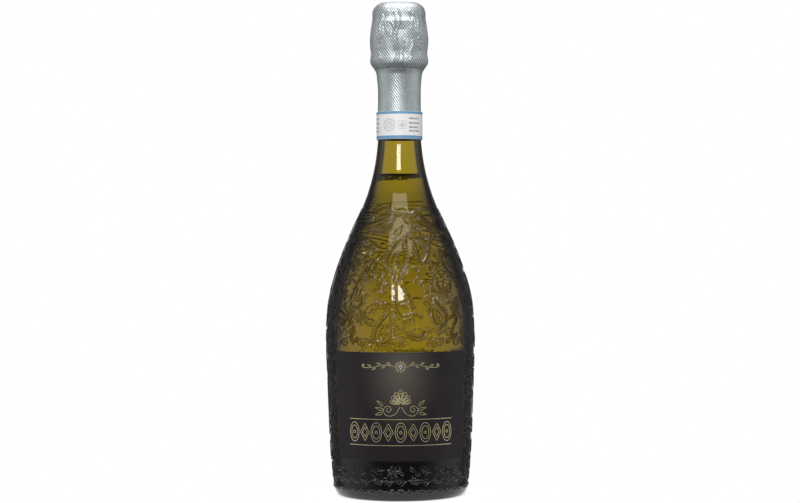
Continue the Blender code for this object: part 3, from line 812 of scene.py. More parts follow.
# Kinds of motif with their size, as thrown one after the other, and how often each is tried
THROWS = (
    ((paisley, beaded_paisley), 10.5 * MM, 300),
    ((vine, paisley, sprig), 7.6 * MM, 700),
    ((scroll, blossom, beaded_paisley), 5.6 * MM, 1200),
    ((sprig, blossom, eyed_drop), 4.2 * MM, 2600),
    ((sprig, scroll, eyed_drop), 3.1 * MM, 4200),
    ((ring, eyed_drop, scroll), 2.1 * MM, 6000),
)
BASE_SIZE = 6.5 * MM
CLOSENESS = 0.80
MOST_MOTIFS = 6000
TOP_MARKS = 20
TOP_MARK_SIZE = 6.5 * MM
TOP_MARK_STEP = 3.4 * MM


class Wall:
    """The outside of the glass as a grid: angles across, and radius, height and length up it."""

    def __init__(self, outline, angles):
        self.angles = angles
        self.radii, self.heights = outline[:, 0], outline[:, 1]
        self.lengths = lengths_of(outline)
        self.field = np.zeros((len(outline), len(angles)))

    def at(self, height):
        """Radius and length at a height."""
        return np.interp(height, self.heights, self.radii), np.interp(height, self.heights, self.lengths)

    def stamp(self, strokes, angle, height, turn, size, line, rise):
        """Raises the field along the strokes of one motif."""
        length = self.at(height)[1]
        reach = 1.35 * size + line
        rows = np.nonzero(np.abs(self.lengths - length) < reach)[0]
        step = self.angles[1] - self.angles[0]
        middle = round(angle / step)
        span = int(reach / (self.radii[rows].min() * step)) + 1
        columns = np.arange(middle - span, middle + span + 1)
        across = (columns * step - angle)[None, :] * self.radii[rows][:, None]
        up = np.broadcast_to((self.lengths[rows] - length)[:, None], across.shape)
        cos, sin = math.cos(turn), math.sin(turn)
        place = np.stack([across * cos + up * sin, up * cos - across * sin], -1).reshape(-1, 1, 2)
        starts = np.vstack([points[:-1] for points, _, _ in strokes]) * size
        ends = np.vstack([points[1:] for points, _, _ in strokes]) * size
        wide = np.concatenate([[width] * (len(points) - 1) for points, width, _ in strokes]) * line
        tall = np.concatenate([[height] * (len(points) - 1) for points, _, height in strokes]) * rise
        legs = ends - starts
        share = ((place - starts) * legs).sum(-1) / np.maximum((legs**2).sum(-1), 1e-12)
        near = starts + np.clip(share, 0, 1)[..., None] * legs
        distance = np.linalg.norm(place - near, axis=-1)
        raised = (tall * (0.5 + 0.5 * np.cos(math.pi * np.minimum(distance / wide, 1)))).max(1)
        window = np.ix_(rows, columns % len(self.angles))
        self.field[window] = np.maximum(self.field[window], raised.reshape(across.shape))

    def flanks(self):
        """Painted shade for the ornament: how steep the raised field is, from 0 on plain glass to 1 where it
        faces steeply down, and half as much where it faces steeply up.
        """
        step = self.angles[1] * self.radii[:, None]
        around = (np.roll(self.field, -1, 1) - np.roll(self.field, 1, 1)) / (2 * step)
        upward = np.gradient(self.field, self.lengths, axis=0)
        steep = np.hypot(around, upward)
        return np.clip(steep, 0, 1) * (0.75 + 0.25 * upward / np.maximum(steep, 1e-6))


SMOOTH_ROW = 1.6 * MM
INSIDE_ROW = 1.2 * MM


def glass_outline(sizes):
    """The glass's outline in three stretches: inside and base, the wall that is moulded, and the rest."""
    outline = meridian("glass_bottle")
    fine_top = sizes.ornament_high + 3 * MM
    heel = max(range(len(outline)), key=lambda i: outline[i][0] * (outline[i][1] == 0))
    neck = next(i for i in range(heel, len(outline)) if outline[i][1] > fine_top)

    def spacing(height):
        return sizes.row if height < fine_top else SMOOTH_ROW

    under = resampled(outline[:heel + 1], lambda height: INSIDE_ROW)
    rest = resampled(outline[neck:], lambda height: SMOOTH_ROW)
    return under, resampled(outline[heel:neck + 1], spacing), rest


def label_corners(foot):
    """Half the label's angle, and its lowest and highest point."""
    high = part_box("front_label")[1]
    return math.asin(high.x / math.hypot(high.x, low_edge_y(high.x))), foot, high.z


# How far a vertex may lie from a value that it should have
EDGE_SLACK = 0.02 * MM
RADIUS_SLACK = 0.01 * MM
LEVEL_SLACK = 0.005 * MM


def low_edge_y(edge):
    """How far forward of the axis the label's side edge lies."""
    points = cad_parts["front_label"].data.vertices
    return max(vertex.co.y for vertex in points if vertex.co.x > edge - EDGE_SLACK)


def throw_motifs(wall, sizes, half_angle, low, high):
    """Stamps the large motifs at their places, then the rows, and throws the rest to where there is room."""
    chance = np.random.default_rng(SEED)
    spots = np.full((MOST_MOTIFS, 4), 1.0)
    count = 0
    margin = sizes.panel_margin

    def fits(angle, height, size):
        radius, length = wall.at(height)
        beside = abs((angle - FRONT + math.pi) % FULL_TURN - math.pi) - half_angle
        over_panel = beside * radius < margin + size * 0.8
        if over_panel and low - margin - size * 0.8 < height < high + margin + size * 0.8:
            return False
        others = spots[:count]
        gap = (others[:, 0] - angle + math.pi) % FULL_TURN - math.pi
        away = np.hypot(gap * (others[:, 3] + radius) / 2, others[:, 1] - length)
        return bool((away > (others[:, 2] + size) * CLOSENESS).all())

    def put(motif, angle, height, turn, size):
        nonlocal count
        radius, length = wall.at(height)
        spots[count] = (angle, length, size, radius)
        count += 1
        grown = min(max((size / BASE_SIZE)**0.4, 0.78), 1.3)
        rise = sizes.relief * min(grown, 1.08)
        wall.stamp(motif(), angle % FULL_TURN, height, turn, size, sizes.line * grown, rise)

    for side in range(SIDES):
        for motif, across, height, turn, size in SIDE_GROUP:
            angle = FRONT + FULL_TURN * side / SIDES + across * MM / wall.at(height * MM)[0]
            put(motif, angle, height * MM, turn, size * MM)
    lay_rows(wall, put, half_angle, high + margin)
    for step in range(TOP_MARKS):
        angle = FRONT + FULL_TURN * (step + chance.uniform(-0.2, 0.2)) / TOP_MARKS
        height = sizes.ornament_high - (step % 2) * TOP_MARK_STEP - chance.uniform(0, 1.5) * MM
        mark = tendril if step % 3 == 0 else long_leaf
        turn = chance.normal(0, 0.14)
        wall.stamp(mark(), angle % FULL_TURN, height, turn, TOP_MARK_SIZE, sizes.line, sizes.relief)
    for motifs, size, tries in THROWS:
        for _ in range(tries):
            angle = chance.uniform(0, FULL_TURN)
            height = chance.uniform(sizes.ornament_low + size, sizes.ornament_high - size)
            turn = chance.uniform(0, FULL_TURN)
            grown = size * chance.uniform(0.85, 1.1)
            motif = motifs[chance.integers(len(motifs))]
            if fits(angle, height, grown):
                put(motif, angle, height, turn, grown)


def lay_rows(wall, put, half_angle, panel_top):
    """Rings in a zigzag beside the large motifs over the label, and two rows of drops round the foot."""
    over_label = panel_top + 3.2 * MM
    pitch = 6.2 * MM / wall.at(over_label)[0]
    reach = int(half_angle / pitch) + 1
    for step in range(-reach, reach + 1):
        if abs(step) * 6.2 > 21:
            put(ring, FRONT + step * pitch, over_label + (step % 2) * 6.0 * MM, 0.0, 2.9 * MM)
    for height, motif, size, spacing in ((6.2, eyed_drop, 2.6, 6.0), (12.6, sprig, 3.4, 7.4)):
        count = round(FULL_TURN * wall.at(height * MM)[0] / (spacing * MM))
        for step in range(count):
            put(motif, FRONT + FULL_TURN * step / count, height * MM, 0.5 * math.pi * (-1)**step, size * MM)


# Pieces

class BOTTLE_OT_glass(bpy.types.Operator):
    """Turn the bottle's glass and mould its ornament round a smooth panel for the label"""

    bl_idname = "bottle.glass"
    bl_label = "Moulded Glass"

    def execute(self, context):
        sizes = context.scene.bottle_glass
        angles = round_angles(sizes.columns)
        under, moulded, rest = glass_outline(sizes)
        wall = Wall(moulded, angles)
        half_angle, low, high = label_corners(context.scene.bottle_label.foot)
        throw_motifs(wall, sizes, half_angle, low, high)
        rows = np.vstack([
            turned_rows(under[:-1], angles),
            turned_rows(moulded, angles, wall.field),
            turned_rows(rest[1:], angles),
        ])
        # Painted shade on the ornament's steep sides.
        flank = np.zeros(rows.shape[:2])
        start = len(under) - 1
        flank[start:start + len(moulded)] = wall.flanks()
        # Painted shade towards the foot of the glass.
        thick = np.clip((sizes.thick_base - rows[..., 2]) / (0.30 * sizes.thick_base), 0, 1)
        glass = skinned("moulded_glass", rows, flank=flank, thick=thick)
        dressed(glass, glass_material(sizes), "bottle", "green_glass", "glass_bottle")
        return {"FINISHED"}


class BOTTLE_OT_wine(bpy.types.Operator):
    """Fill the glass with wine up to its level, with painted shade for the dark line and the ring of bubbles
    at the top
    """

    bl_idname = "bottle.wine"
    bl_label = "Wine"

    def execute(self, context):
        sizes = context.scene.bottle_wine
        outline = meridian("wine")
        level = outline[-1][1]
        inside = meridian("glass_bottle")[::-1]
        lip = max(range(len(inside)), key=lambda i: inside[i][1])

        def spacing(height):
            return sizes.rim_row if abs(height - level) < sizes.rim_depth else 2.0 * MM

        inside = resampled(inside[:lip], spacing)
        below = inside[inside[:, 1] < level + sizes.meniscus - 0.3 * MM]
        neck = inside[inside[:, 1] > level / 2]
        rim = np.interp(level, neck[:, 1], neck[:, 0])
        filled = below + (sizes.overlap, 0)
        filled[0, 0] = 0
        fall = np.array([0.0, 0.25, 0.6, 1.1, 1.8, 2.8, 4.2]) * MM
        top = np.stack([rim + sizes.overlap - fall, level + sizes.meniscus * np.exp(-fall / (0.8 * MM))], 1)
        spread = np.linspace(rim - 6 * MM, 0, 6)
        flat = np.stack([spread, np.full_like(spread, level)], 1)
        outline = np.vstack([filled, top, flat])
        angles = round_angles(sizes.columns)
        shade = self.shade_rim(sizes, angles, outline[:, 1], rim, level)
        shade[len(filled):] = 0
        wine = skinned("wine_fill", turned_rows(outline, angles), rim=shade)
        dressed(wine, wine_material(sizes), "bottle", "wine", "wine")
        return {"FINISHED"}

    def shade_rim(self, sizes, angles, heights, radius, level):
        """Painted shade: the dark line where the wine climbs the wall, and the dark rings of the bubbles
        that cling under it.
        """
        chance = np.random.default_rng(SEED)
        depth = (level + sizes.meniscus - heights)[:, None]
        turn = (angles - FRONT + math.pi) % FULL_TURN - math.pi
        waver = 0.22 * np.sin(5 * turn + 1) + 0.16 * np.sin(11 * turn) + 0.10 * np.sin(23 * turn + 2)
        half = (1.30 + 1.15 * np.cos(turn + 1.1) + 0.5 * waver) * MM
        apart = np.abs(depth - (2.2 + 0.5 * waver) * MM)
        shade = np.clip((half - apart) / (0.3 * MM) + 0.5, 0, 1)
        for _ in range(sizes.bubbles):
            size = chance.uniform(0.45, 1.5) * MM
            middle = chance.normal(-0.4, 0.75)
            low = size + chance.uniform(0.6, 2.6) * MM
            around = ((turn - middle + math.pi) % FULL_TURN - math.pi)[None, :] * radius
            away = np.hypot(around, depth - low) / size
            ring = np.clip(1.2 - np.abs(away - 0.76) / 0.34, 0, 1)
            shade = np.where(away < 0.76, ring, np.maximum(shade, ring))
        return shade


# Flat designs laid on the label or the band

def strip(path, width, low, high, place):
    """Rows of a flat strip along a path; place(u, v, out) lays a point of the design on its surface."""
    path = np.array(path, float)
    ahead = np.gradient(path, axis=0)
    ahead /= np.maximum(np.linalg.norm(ahead, axis=1), 1e-9)[:, None]
    side = np.stack([-ahead[:, 1], ahead[:, 0]], 1) * np.reshape(width, (-1, 1)) / 2
    left, right = path + side, path - side
    return [
        [place(*left[i], low), place(*right[i], low), place(*right[i], high), place(*left[i], high)]
        for i in range(len(path))
    ]


def drawn(name, paths, width, low, high, place):
    """One object of flat strips along many paths, each closed at its ends."""
    shape = bmesh.new()
    for path in paths:
        rows = [[shape.verts.new(point) for point in row] for row in strip(path, width, low, high, place)]
        closed = np.allclose(path[0], path[-1], atol=0.01 * MM)
        if closed:
            rows = rows[:-1]
        pairs = list(zip(rows, rows[1:])) + ([(rows[-1], rows[0])] if closed else [])
        for here, after in pairs:
            for index in range(4):
                beside = (index + 1) % 4
                shape.faces.new((here[index], here[beside], after[beside], after[index]))
        if not closed:
            shape.faces.new(rows[0])
            shape.faces.new(rows[-1])
    bmesh.ops.recalc_face_normals(shape, faces=shape.faces)
    return linked(name, shape)


def both_sides(paths):
    return [np.array(path) for path in paths] + [np.array(path) * (-1, 1) for path in paths]


def scroll_pair(reach, lift):
    """Two leafy vines running out from the middle, with their leaves."""
    run = np.linspace(0, 1, 40)
    stem = np.stack([reach * (0.16 + 0.84 * run), lift * np.sin(5.2 * run) * (1 - 0.6 * run)], 1)
    curl = np.linspace(0, 1.35 * FULL_TURN, 30)
    size = 0.055 * reach * np.exp(-curl / 5.0)
    end = stem[-1] + (0, 0.055 * reach)
    spiral = np.stack([end[0] + size * np.sin(curl), end[1] - size * np.cos(curl)], 1)
    leaves = []
    for index, side in ((6, 1), (12, -1), (18, 1), (24, -1), (30, 1)):
        turn = -1.15 if side > 0 else -2.0
        centre = stem[index] + (0.03 * reach, side * 0.055 * reach)
        leaves.append(teardrop(0.022 * reach, 0.055 * reach, 0.0, 18, centre, turn))
    return both_sides([np.vstack([stem, spiral[1:]]), *leaves])


def palmette(size):
    """A fan of upright leaves on two scrolls, in outline."""
    paths = []
    for step in range(-3, 4):
        turn = -0.42 * step
        reach = size * (0.62 - 0.05 * abs(step))
        centre = (0.62 * reach * math.sin(-turn), 0.62 * reach * math.cos(turn) - 0.1 * size)
        paths.append(teardrop(0.26 * reach, 0.52 * reach, 0.0, 26, centre, turn + math.pi))
        paths.append(teardrop(0.13 * reach, 0.30 * reach, 0.0, 18, centre, turn + math.pi))
    curl = np.linspace(0, 1.6 * FULL_TURN, 44)
    spread = 0.34 * size * np.exp(-curl / 6.0)
    spiral = np.stack(
        [0.62 * size + spread * np.cos(curl - 2.2), -0.36 * size + spread * np.sin(curl - 2.2)], 1,
    )
    sweep = np.stack(
        [np.linspace(0.05 * size, spiral[0, 0], 16), np.linspace(-0.22 * size, spiral[0, 1], 16)], 1,
    )
    sweep[:, 1] -= 0.10 * size * np.sin(np.linspace(0, math.pi, 16))
    leaves = [
        teardrop(0.09 * size, reach * size, 0.03 * size, 22, (out * size, up * size), turn)
        for out, up, turn, reach in (
            (1.08, -0.30, -1.2, 0.22), (1.05, -0.02, -0.8, 0.20), (1.12, -0.56, -1.7, 0.18),
        )
    ]
    paths += both_sides([np.vstack([sweep, spiral[1:]]), *leaves])
    return paths


def frieze(width, height):
    """A row of ovals and lozenges in outline between two rules."""
    paths = []
    cells = 9
    cell = width / cells
    for index in range(cells):
        middle = (index - (cells - 1) / 2) * cell
        if index % 2:
            half = (0.40 * cell, 0.42 * height)
            corners = [(0, half[1]), (half[0], 0), (0, -half[1]), (-half[0], 0), (0, half[1])]
            lozenge = np.vstack([
                np.linspace(start, end, 8)[:-1] for start, end in zip(corners, corners[1:])
            ] + [corners[-1:]])
            paths += [lozenge + (middle, 0), lozenge * 0.55 + (middle, 0)]
        else:
            oval = circle(1, 36) * (0.45 * cell, 0.46 * height)
            inner = circle(1, 30) * (0.30 * cell, 0.31 * height)
            paths += [oval + (middle, 0), inner + (middle, 0), circle(0.06 * height, 12) + (middle, 0)]
    for side in (-1, 1):
        run = np.linspace(-width / 2, width / 2, 90)
        paths.append(np.stack([run, np.full_like(run, side * 0.62 * height)], 1))
    return paths


class BOTTLE_OT_label(bpy.types.Operator):
    """Wrap the black label round its panel, with a stamped gold ornament and a cut stone"""

    bl_idname = "bottle.label"
    bl_label = "Front Label"

    def execute(self, context):
        sizes = context.scene.bottle_label
        half_angle, low, high = label_corners(sizes.foot)
        side = glass_outline(context.scene.bottle_glass)[1]

        def radius(height):
            return np.interp(height, side[:, 1], side[:, 0])

        heights = np.linspace(low, high, 66)
        inner = np.stack([radius(heights) + sizes.lift, heights], 1)
        outer = inner + (sizes.paper, 0)
        corner = np.linspace(-half_angle, half_angle, 120) + FRONT
        rows = turned_rows(np.vstack([outer, inner[::-1]]), corner)
        # Painted highlight: a soft oval in the label's middle, fading to none at its sides.
        beside = (corner - FRONT)[None, :] * inner[:, :1]
        upward = (heights - (low + 0.84 * (high - low)))[:, None]
        apart = np.hypot(beside / (27 * MM), upward / np.where(upward > 0, 26 * MM, 40 * MM))
        glow = np.clip(1 - apart, 0, 1)**1.4
        glow = np.concatenate([glow, 0 * glow])
        label = skinned("label_paper", rows, looped=True, open_side=True, glow=glow)
        dressed(label, label_material(sizes), "bottle", "black_label", "front_label")

        face = sizes.lift + sizes.paper

        def on_label(u, v, out):
            around = radius(v) + out
            angle = FRONT + u / around
            return (around * math.cos(angle), around * math.sin(angle), v)

        self.stamp_gold(sizes, low, high, face, on_label)
        self.set_stone(face, radius)
        return {"FINISHED"}

    def stamp_gold(self, sizes, low, high, face, on_label):
        tall = high - low
        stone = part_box("label_gem")
        stone_height = (stone[0].z + stone[1].z) / 2
        paths = [path + (0, stone_height) for path in scroll_pair(23 * MM, 1.3 * MM)]
        paths.append(circle(2.3 * MM, 48, (0, stone_height)))
        beads = [circle(0.22 * MM, 10, (0, 0)) + point for point in circle(3.1 * MM, 12)[:-1]]
        paths += [path + (0, stone_height) for path in beads]
        paths += [path + (0, low + 0.54 * tall) for path in palmette(12 * MM)]
        paths += [path + (0, low + 0.265 * tall) for path in frieze(67 * MM, 12.5 * MM)]
        gold = drawn("label_gold", paths, sizes.line, face, face + sizes.stamp, on_label)
        gold.data.materials.append(gold_material(sizes))
        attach(gold, "bottle")

    def set_stone(self, face, radius):
        """A brilliant-cut stone: a table, a crown in two tiers, a girdle and a flat back."""
        low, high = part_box("label_gem")
        size = (high.x - low.x) / 2
        height = (low.z + high.z) / 2
        front = -(radius(height) + face)
        tiers = ((0.52, 0.62, 8, 0.5), (0.80, 0.42, 8, 0.0), (1.0, 0.16, 16, 0.0), (1.0, 0.0, 16, 0.0))
        shape = bmesh.new()
        for share, rise, sides, offset in tiers:
            for side in range(sides):
                turn = FULL_TURN * (side + offset) / sides
                across = size * share * math.cos(turn)
                up = size * share * math.sin(turn)
                shape.verts.new((across, front - size * rise, height + up))
        hull = bmesh.ops.convex_hull(shape, input=shape.verts)
        bmesh.ops.delete(shape, geom=hull["geom_interior"], context="VERTS")
        stone = linked("label_stone", shape)
        stone.data.shade_flat()
        dressed(stone, stone_material(), "bottle", "rose_stone", "label_gem")


# The band's print: the rosette's eye, the framed blossom beside it and the bars after that
EYE_RADIUS = 0.9 * MM
FRAME_IN = 1.6 * MM
FRAME_HALF = 2.4 * MM
PETAL_REACH = 1.05 * MM
PETAL_HALF_WIDTH = 0.5 * MM
PETAL_LENGTH = 0.8 * MM
BARS_IN = 6.0 * MM
BAR_GAP = 0.5 * MM
FINE_LINE = 0.16 * MM
BOLD_LINE = 1.0 * MM


class BOTTLE_OT_band(bpy.types.Operator):
    """Wrap the white paper band round the foot of the foil, with its borders and ornament"""

    bl_idname = "bottle.band"
    bl_label = "Neck Band"

    def execute(self, context):
        sizes = context.scene.bottle_band
        low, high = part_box("neck_band")
        radius = max(point[0] for point in meridian("neck_band"))
        band = turned_piece("neck_band", 192, 1.0 * MM)
        dressed(band, paper_material(sizes), "bottle", "white_band", "neck_band")

        def on_band(u, v, out):
            around = radius + out
            angle = FRONT + u / radius
            return (around * math.cos(angle), around * math.sin(angle), v)

        turn = np.linspace(0, FULL_TURN * radius, 193)
        for name, height, width in (
            ("band_border_low", low.z + sizes.border / 2 + 0.15 * MM, sizes.border),
            ("band_border_high", high.z - 0.8 * sizes.border / 2 - 0.15 * MM, 0.8 * sizes.border),
        ):
            path = np.stack([turn, np.full_like(turn, height)], 1)
            border = drawn(name, [path], width, 0.0, sizes.print_rise, on_band)
            border.data.materials.append(ink_material(name.replace("_", " "), tuple(sizes.blue)))
            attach(border, "bottle")
        self.print_ornament(sizes, low.z, high.z, radius, on_band)
        return {"FINISHED"}

    def print_ornament(self, sizes, low, high, radius, on_band):
        """A rosette, a framed blossom and rows of plain bars, three times round the band."""
        middle = (low + high) / 2
        fine, bold = [], []
        repeat = FULL_TURN * radius / 3
        for copy in range(3):
            start = copy * repeat
            centre = (start - 6.6 * MM, middle)
            fine += [circle(3.9 * MM, 48, centre), circle(3.3 * MM, 44, centre)]
            turns = np.linspace(0, FULL_TURN, 181)
            wave = (2.1 + 0.9 * np.cos(7 * turns)) * MM
            fine.append(np.stack([centre[0] + wave * np.cos(turns), centre[1] + wave * np.sin(turns)], 1))
            fine.append(circle(EYE_RADIUS, 24, centre))
            square = [(-1, -1), (1, -1), (1, 1), (-1, 1), (-1, -1)]
            corners = [(start + FRAME_IN + FRAME_HALF * x, middle + FRAME_HALF * y) for x, y in square]
            fine.append(np.vstack([
                np.linspace(a, b, 8)[:-1] for a, b in zip(corners, corners[1:])
            ] + [corners[-1:]]))
            for petal in range(6):
                turn = FULL_TURN * petal / 6
                aside = start + FRAME_IN - PETAL_REACH * math.sin(turn)
                leaf = (aside, middle + PETAL_REACH * math.cos(turn))
                fine.append(teardrop(PETAL_HALF_WIDTH, PETAL_LENGTH, 0.0, 14, leaf, turn + math.pi))
            for row, (height, length) in enumerate(((4.0, 8.4), (1.2, 8.9), (-1.4, 8.0), (-3.6, 8.6))):
                left = start + BARS_IN
                cuts = (0.0, 0.34, 0.62, 1.0) if row % 2 else (0.0, 0.48, 0.80, 1.0)
                for first, last in zip(cuts, cuts[1:]):
                    run = np.linspace(left + first * length * MM, left + last * length * MM - BAR_GAP, 6)
                    bold.append(np.stack([run, np.full_like(run, middle + height * MM)], 1))
        ink = ink_material("grey ink", tuple(sizes.ink))
        prints = (("band_line_print", fine, FINE_LINE), ("band_bar_print", bold, BOLD_LINE))
        for name, paths, width in prints:
            piece = drawn(name, paths, width, 0.0, sizes.print_rise, on_band)
            piece.data.materials.append(ink)
            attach(piece, "bottle")


# Foil

# Rows of facets from the rim of the hood's flat top to its middle
LID_ROWS = 24
HOLE_SIZE = 0.1 * MM
HOLE_LINE = 0.55 * MM
SEAM_TURN = math.radians(-63)

# A fold's place, the shares of the hood's height where it starts and ends, and its lean. Places are
# millimetres round a radius from the front over the key, and radians from the front beside it.
FOLD_RADIUS = 0.017
KEY_FOLDS = ((-2.6, 0.10, 0.84, -0.02), (-0.6, 0.08, 0.88, 0.03), (2.4, 0.10, 0.42, 0.12))
SIDE_FOLDS = ((-0.55, 0.40, 0.86, 0.25), (0.62, 0.36, 0.86, -0.3), (0.42, 0.12, 0.42, 0.15))
KEY_FOLD_WIDTH = 0.75 * MM
FOLD_WIDTH = 0.9 * MM
HIGH_FOLD_WIDTH = 1.1 * MM


def embossing(across, up, sizes):
    """The foil's slanting ribs and the fainter ones that cross them, 1 at the crests and 0 between."""
    ribs = np.cos(FULL_TURN * (across / sizes.across + up / sizes.along))
    crossing = np.cos(FULL_TURN * (across / sizes.across - up / sizes.along))
    return 0.5 + 0.38 * ribs + 0.12 * crossing


def crumple(across, up, around, size, stretch, chance):
    """Creases with sharp crests that mostly run up the foil, from 0 to 1. They meet round the neck.

    It is noise on a grid whose cells are stretched upwards, folded about its middle.
    """
    cells = (int(up.max() / (stretch * size)) + 4, max(4, round(around / size)))
    total = 0.0
    for octave, share in ((1, 1.0), (2, 0.45)):
        grid = chance.uniform(-1, 1, (cells[0] * octave, cells[1] * octave))
        lean = 0.12 * up / size
        column = (across / around * grid.shape[1] + lean * octave) % grid.shape[1]
        row = np.clip(up / (stretch * size) * octave, 0, grid.shape[0] - 2) + 0 * column
        column = column + 0 * row
        left, low = column.astype(int), row.astype(int)
        x, y = column - left, row - low
        x, y = x * x * (3 - 2 * x), y * y * (3 - 2 * y)
        right = (left + 1) % grid.shape[1]
        left = left % grid.shape[1]
        value = (
            (grid[low, left] * (1 - x) + grid[low, right] * x) * (1 - y)
            + (grid[low + 1, left] * (1 - x) + grid[low + 1, right] * x) * y
        )
        total = total + share * (1 - np.abs(value))**2
    return total / 1.45


class BOTTLE_OT_skirt(bpy.types.Operator):
    """Wrap embossed foil round the neck under the torn edge, with its lapped seam"""

    bl_idname = "bottle.skirt"
    bl_label = "Foil Skirt"

    def execute(self, context):
        sizes = context.scene.bottle_foil
        chance = np.random.default_rng(SEED)
        outline = meridian("foil_skirt")
        levels = sorted({point[1] for point in outline})
        side = [(max(radius for radius, height in outline if height == level), level) for level in levels]
        side.append((side[-1][0] + 0.2 * MM, side[-1][1] + 0.2 * MM))
        fine = resampled(side, lambda height: sizes.row)
        angles = round_angles(sizes.columns)
        lengths = lengths_of(fine)[:, None]
        around = FULL_TURN * fine[0, 0]
        across = angles[None, :] * around / FULL_TURN
        pitch = around / round(around / sizes.across)
        ribs = embossing(across * sizes.across / pitch, lengths, sizes)
        seam = ((angles - SEAM_TURN + math.pi) % FULL_TURN - math.pi) * fine[0, 0]
        lap = np.clip(seam / (0.12 * MM) + 0.5, 0, 1) * np.clip(1 - seam / (6 * MM), 0, 1)
        dents = crumple(across, lengths, around, 8 * MM, 1.8, chance)
        push = sizes.emboss * (ribs - 1) + 0.14 * MM * lap[None, :] + 0.15 * MM * dents
        rows = turned_rows(fine, angles, push)
        # Painted shade in the valleys of the embossing.
        dull = 0.40 * (1 - ribs)**1.5
        inner = turned_rows(fine, angles, np.full_like(push, -sizes.emboss - sizes.sheet))
        picked = np.unique(np.linspace(0, len(fine) - 1, 20).astype(int))
        rows = np.concatenate([rows, inner[picked][::-1]])
        dull = np.concatenate([dull, 0 * inner[picked][::-1, :, 0]])
        skirt = skinned("skirt_foil", rows, looped=True, dull=dull)
        smooth = foil_material(sizes, "smooth silver foil", 0.43)
        dressed(skirt, smooth, "bottle", "silver_foil", "foil_skirt")
        return {"FINISHED"}


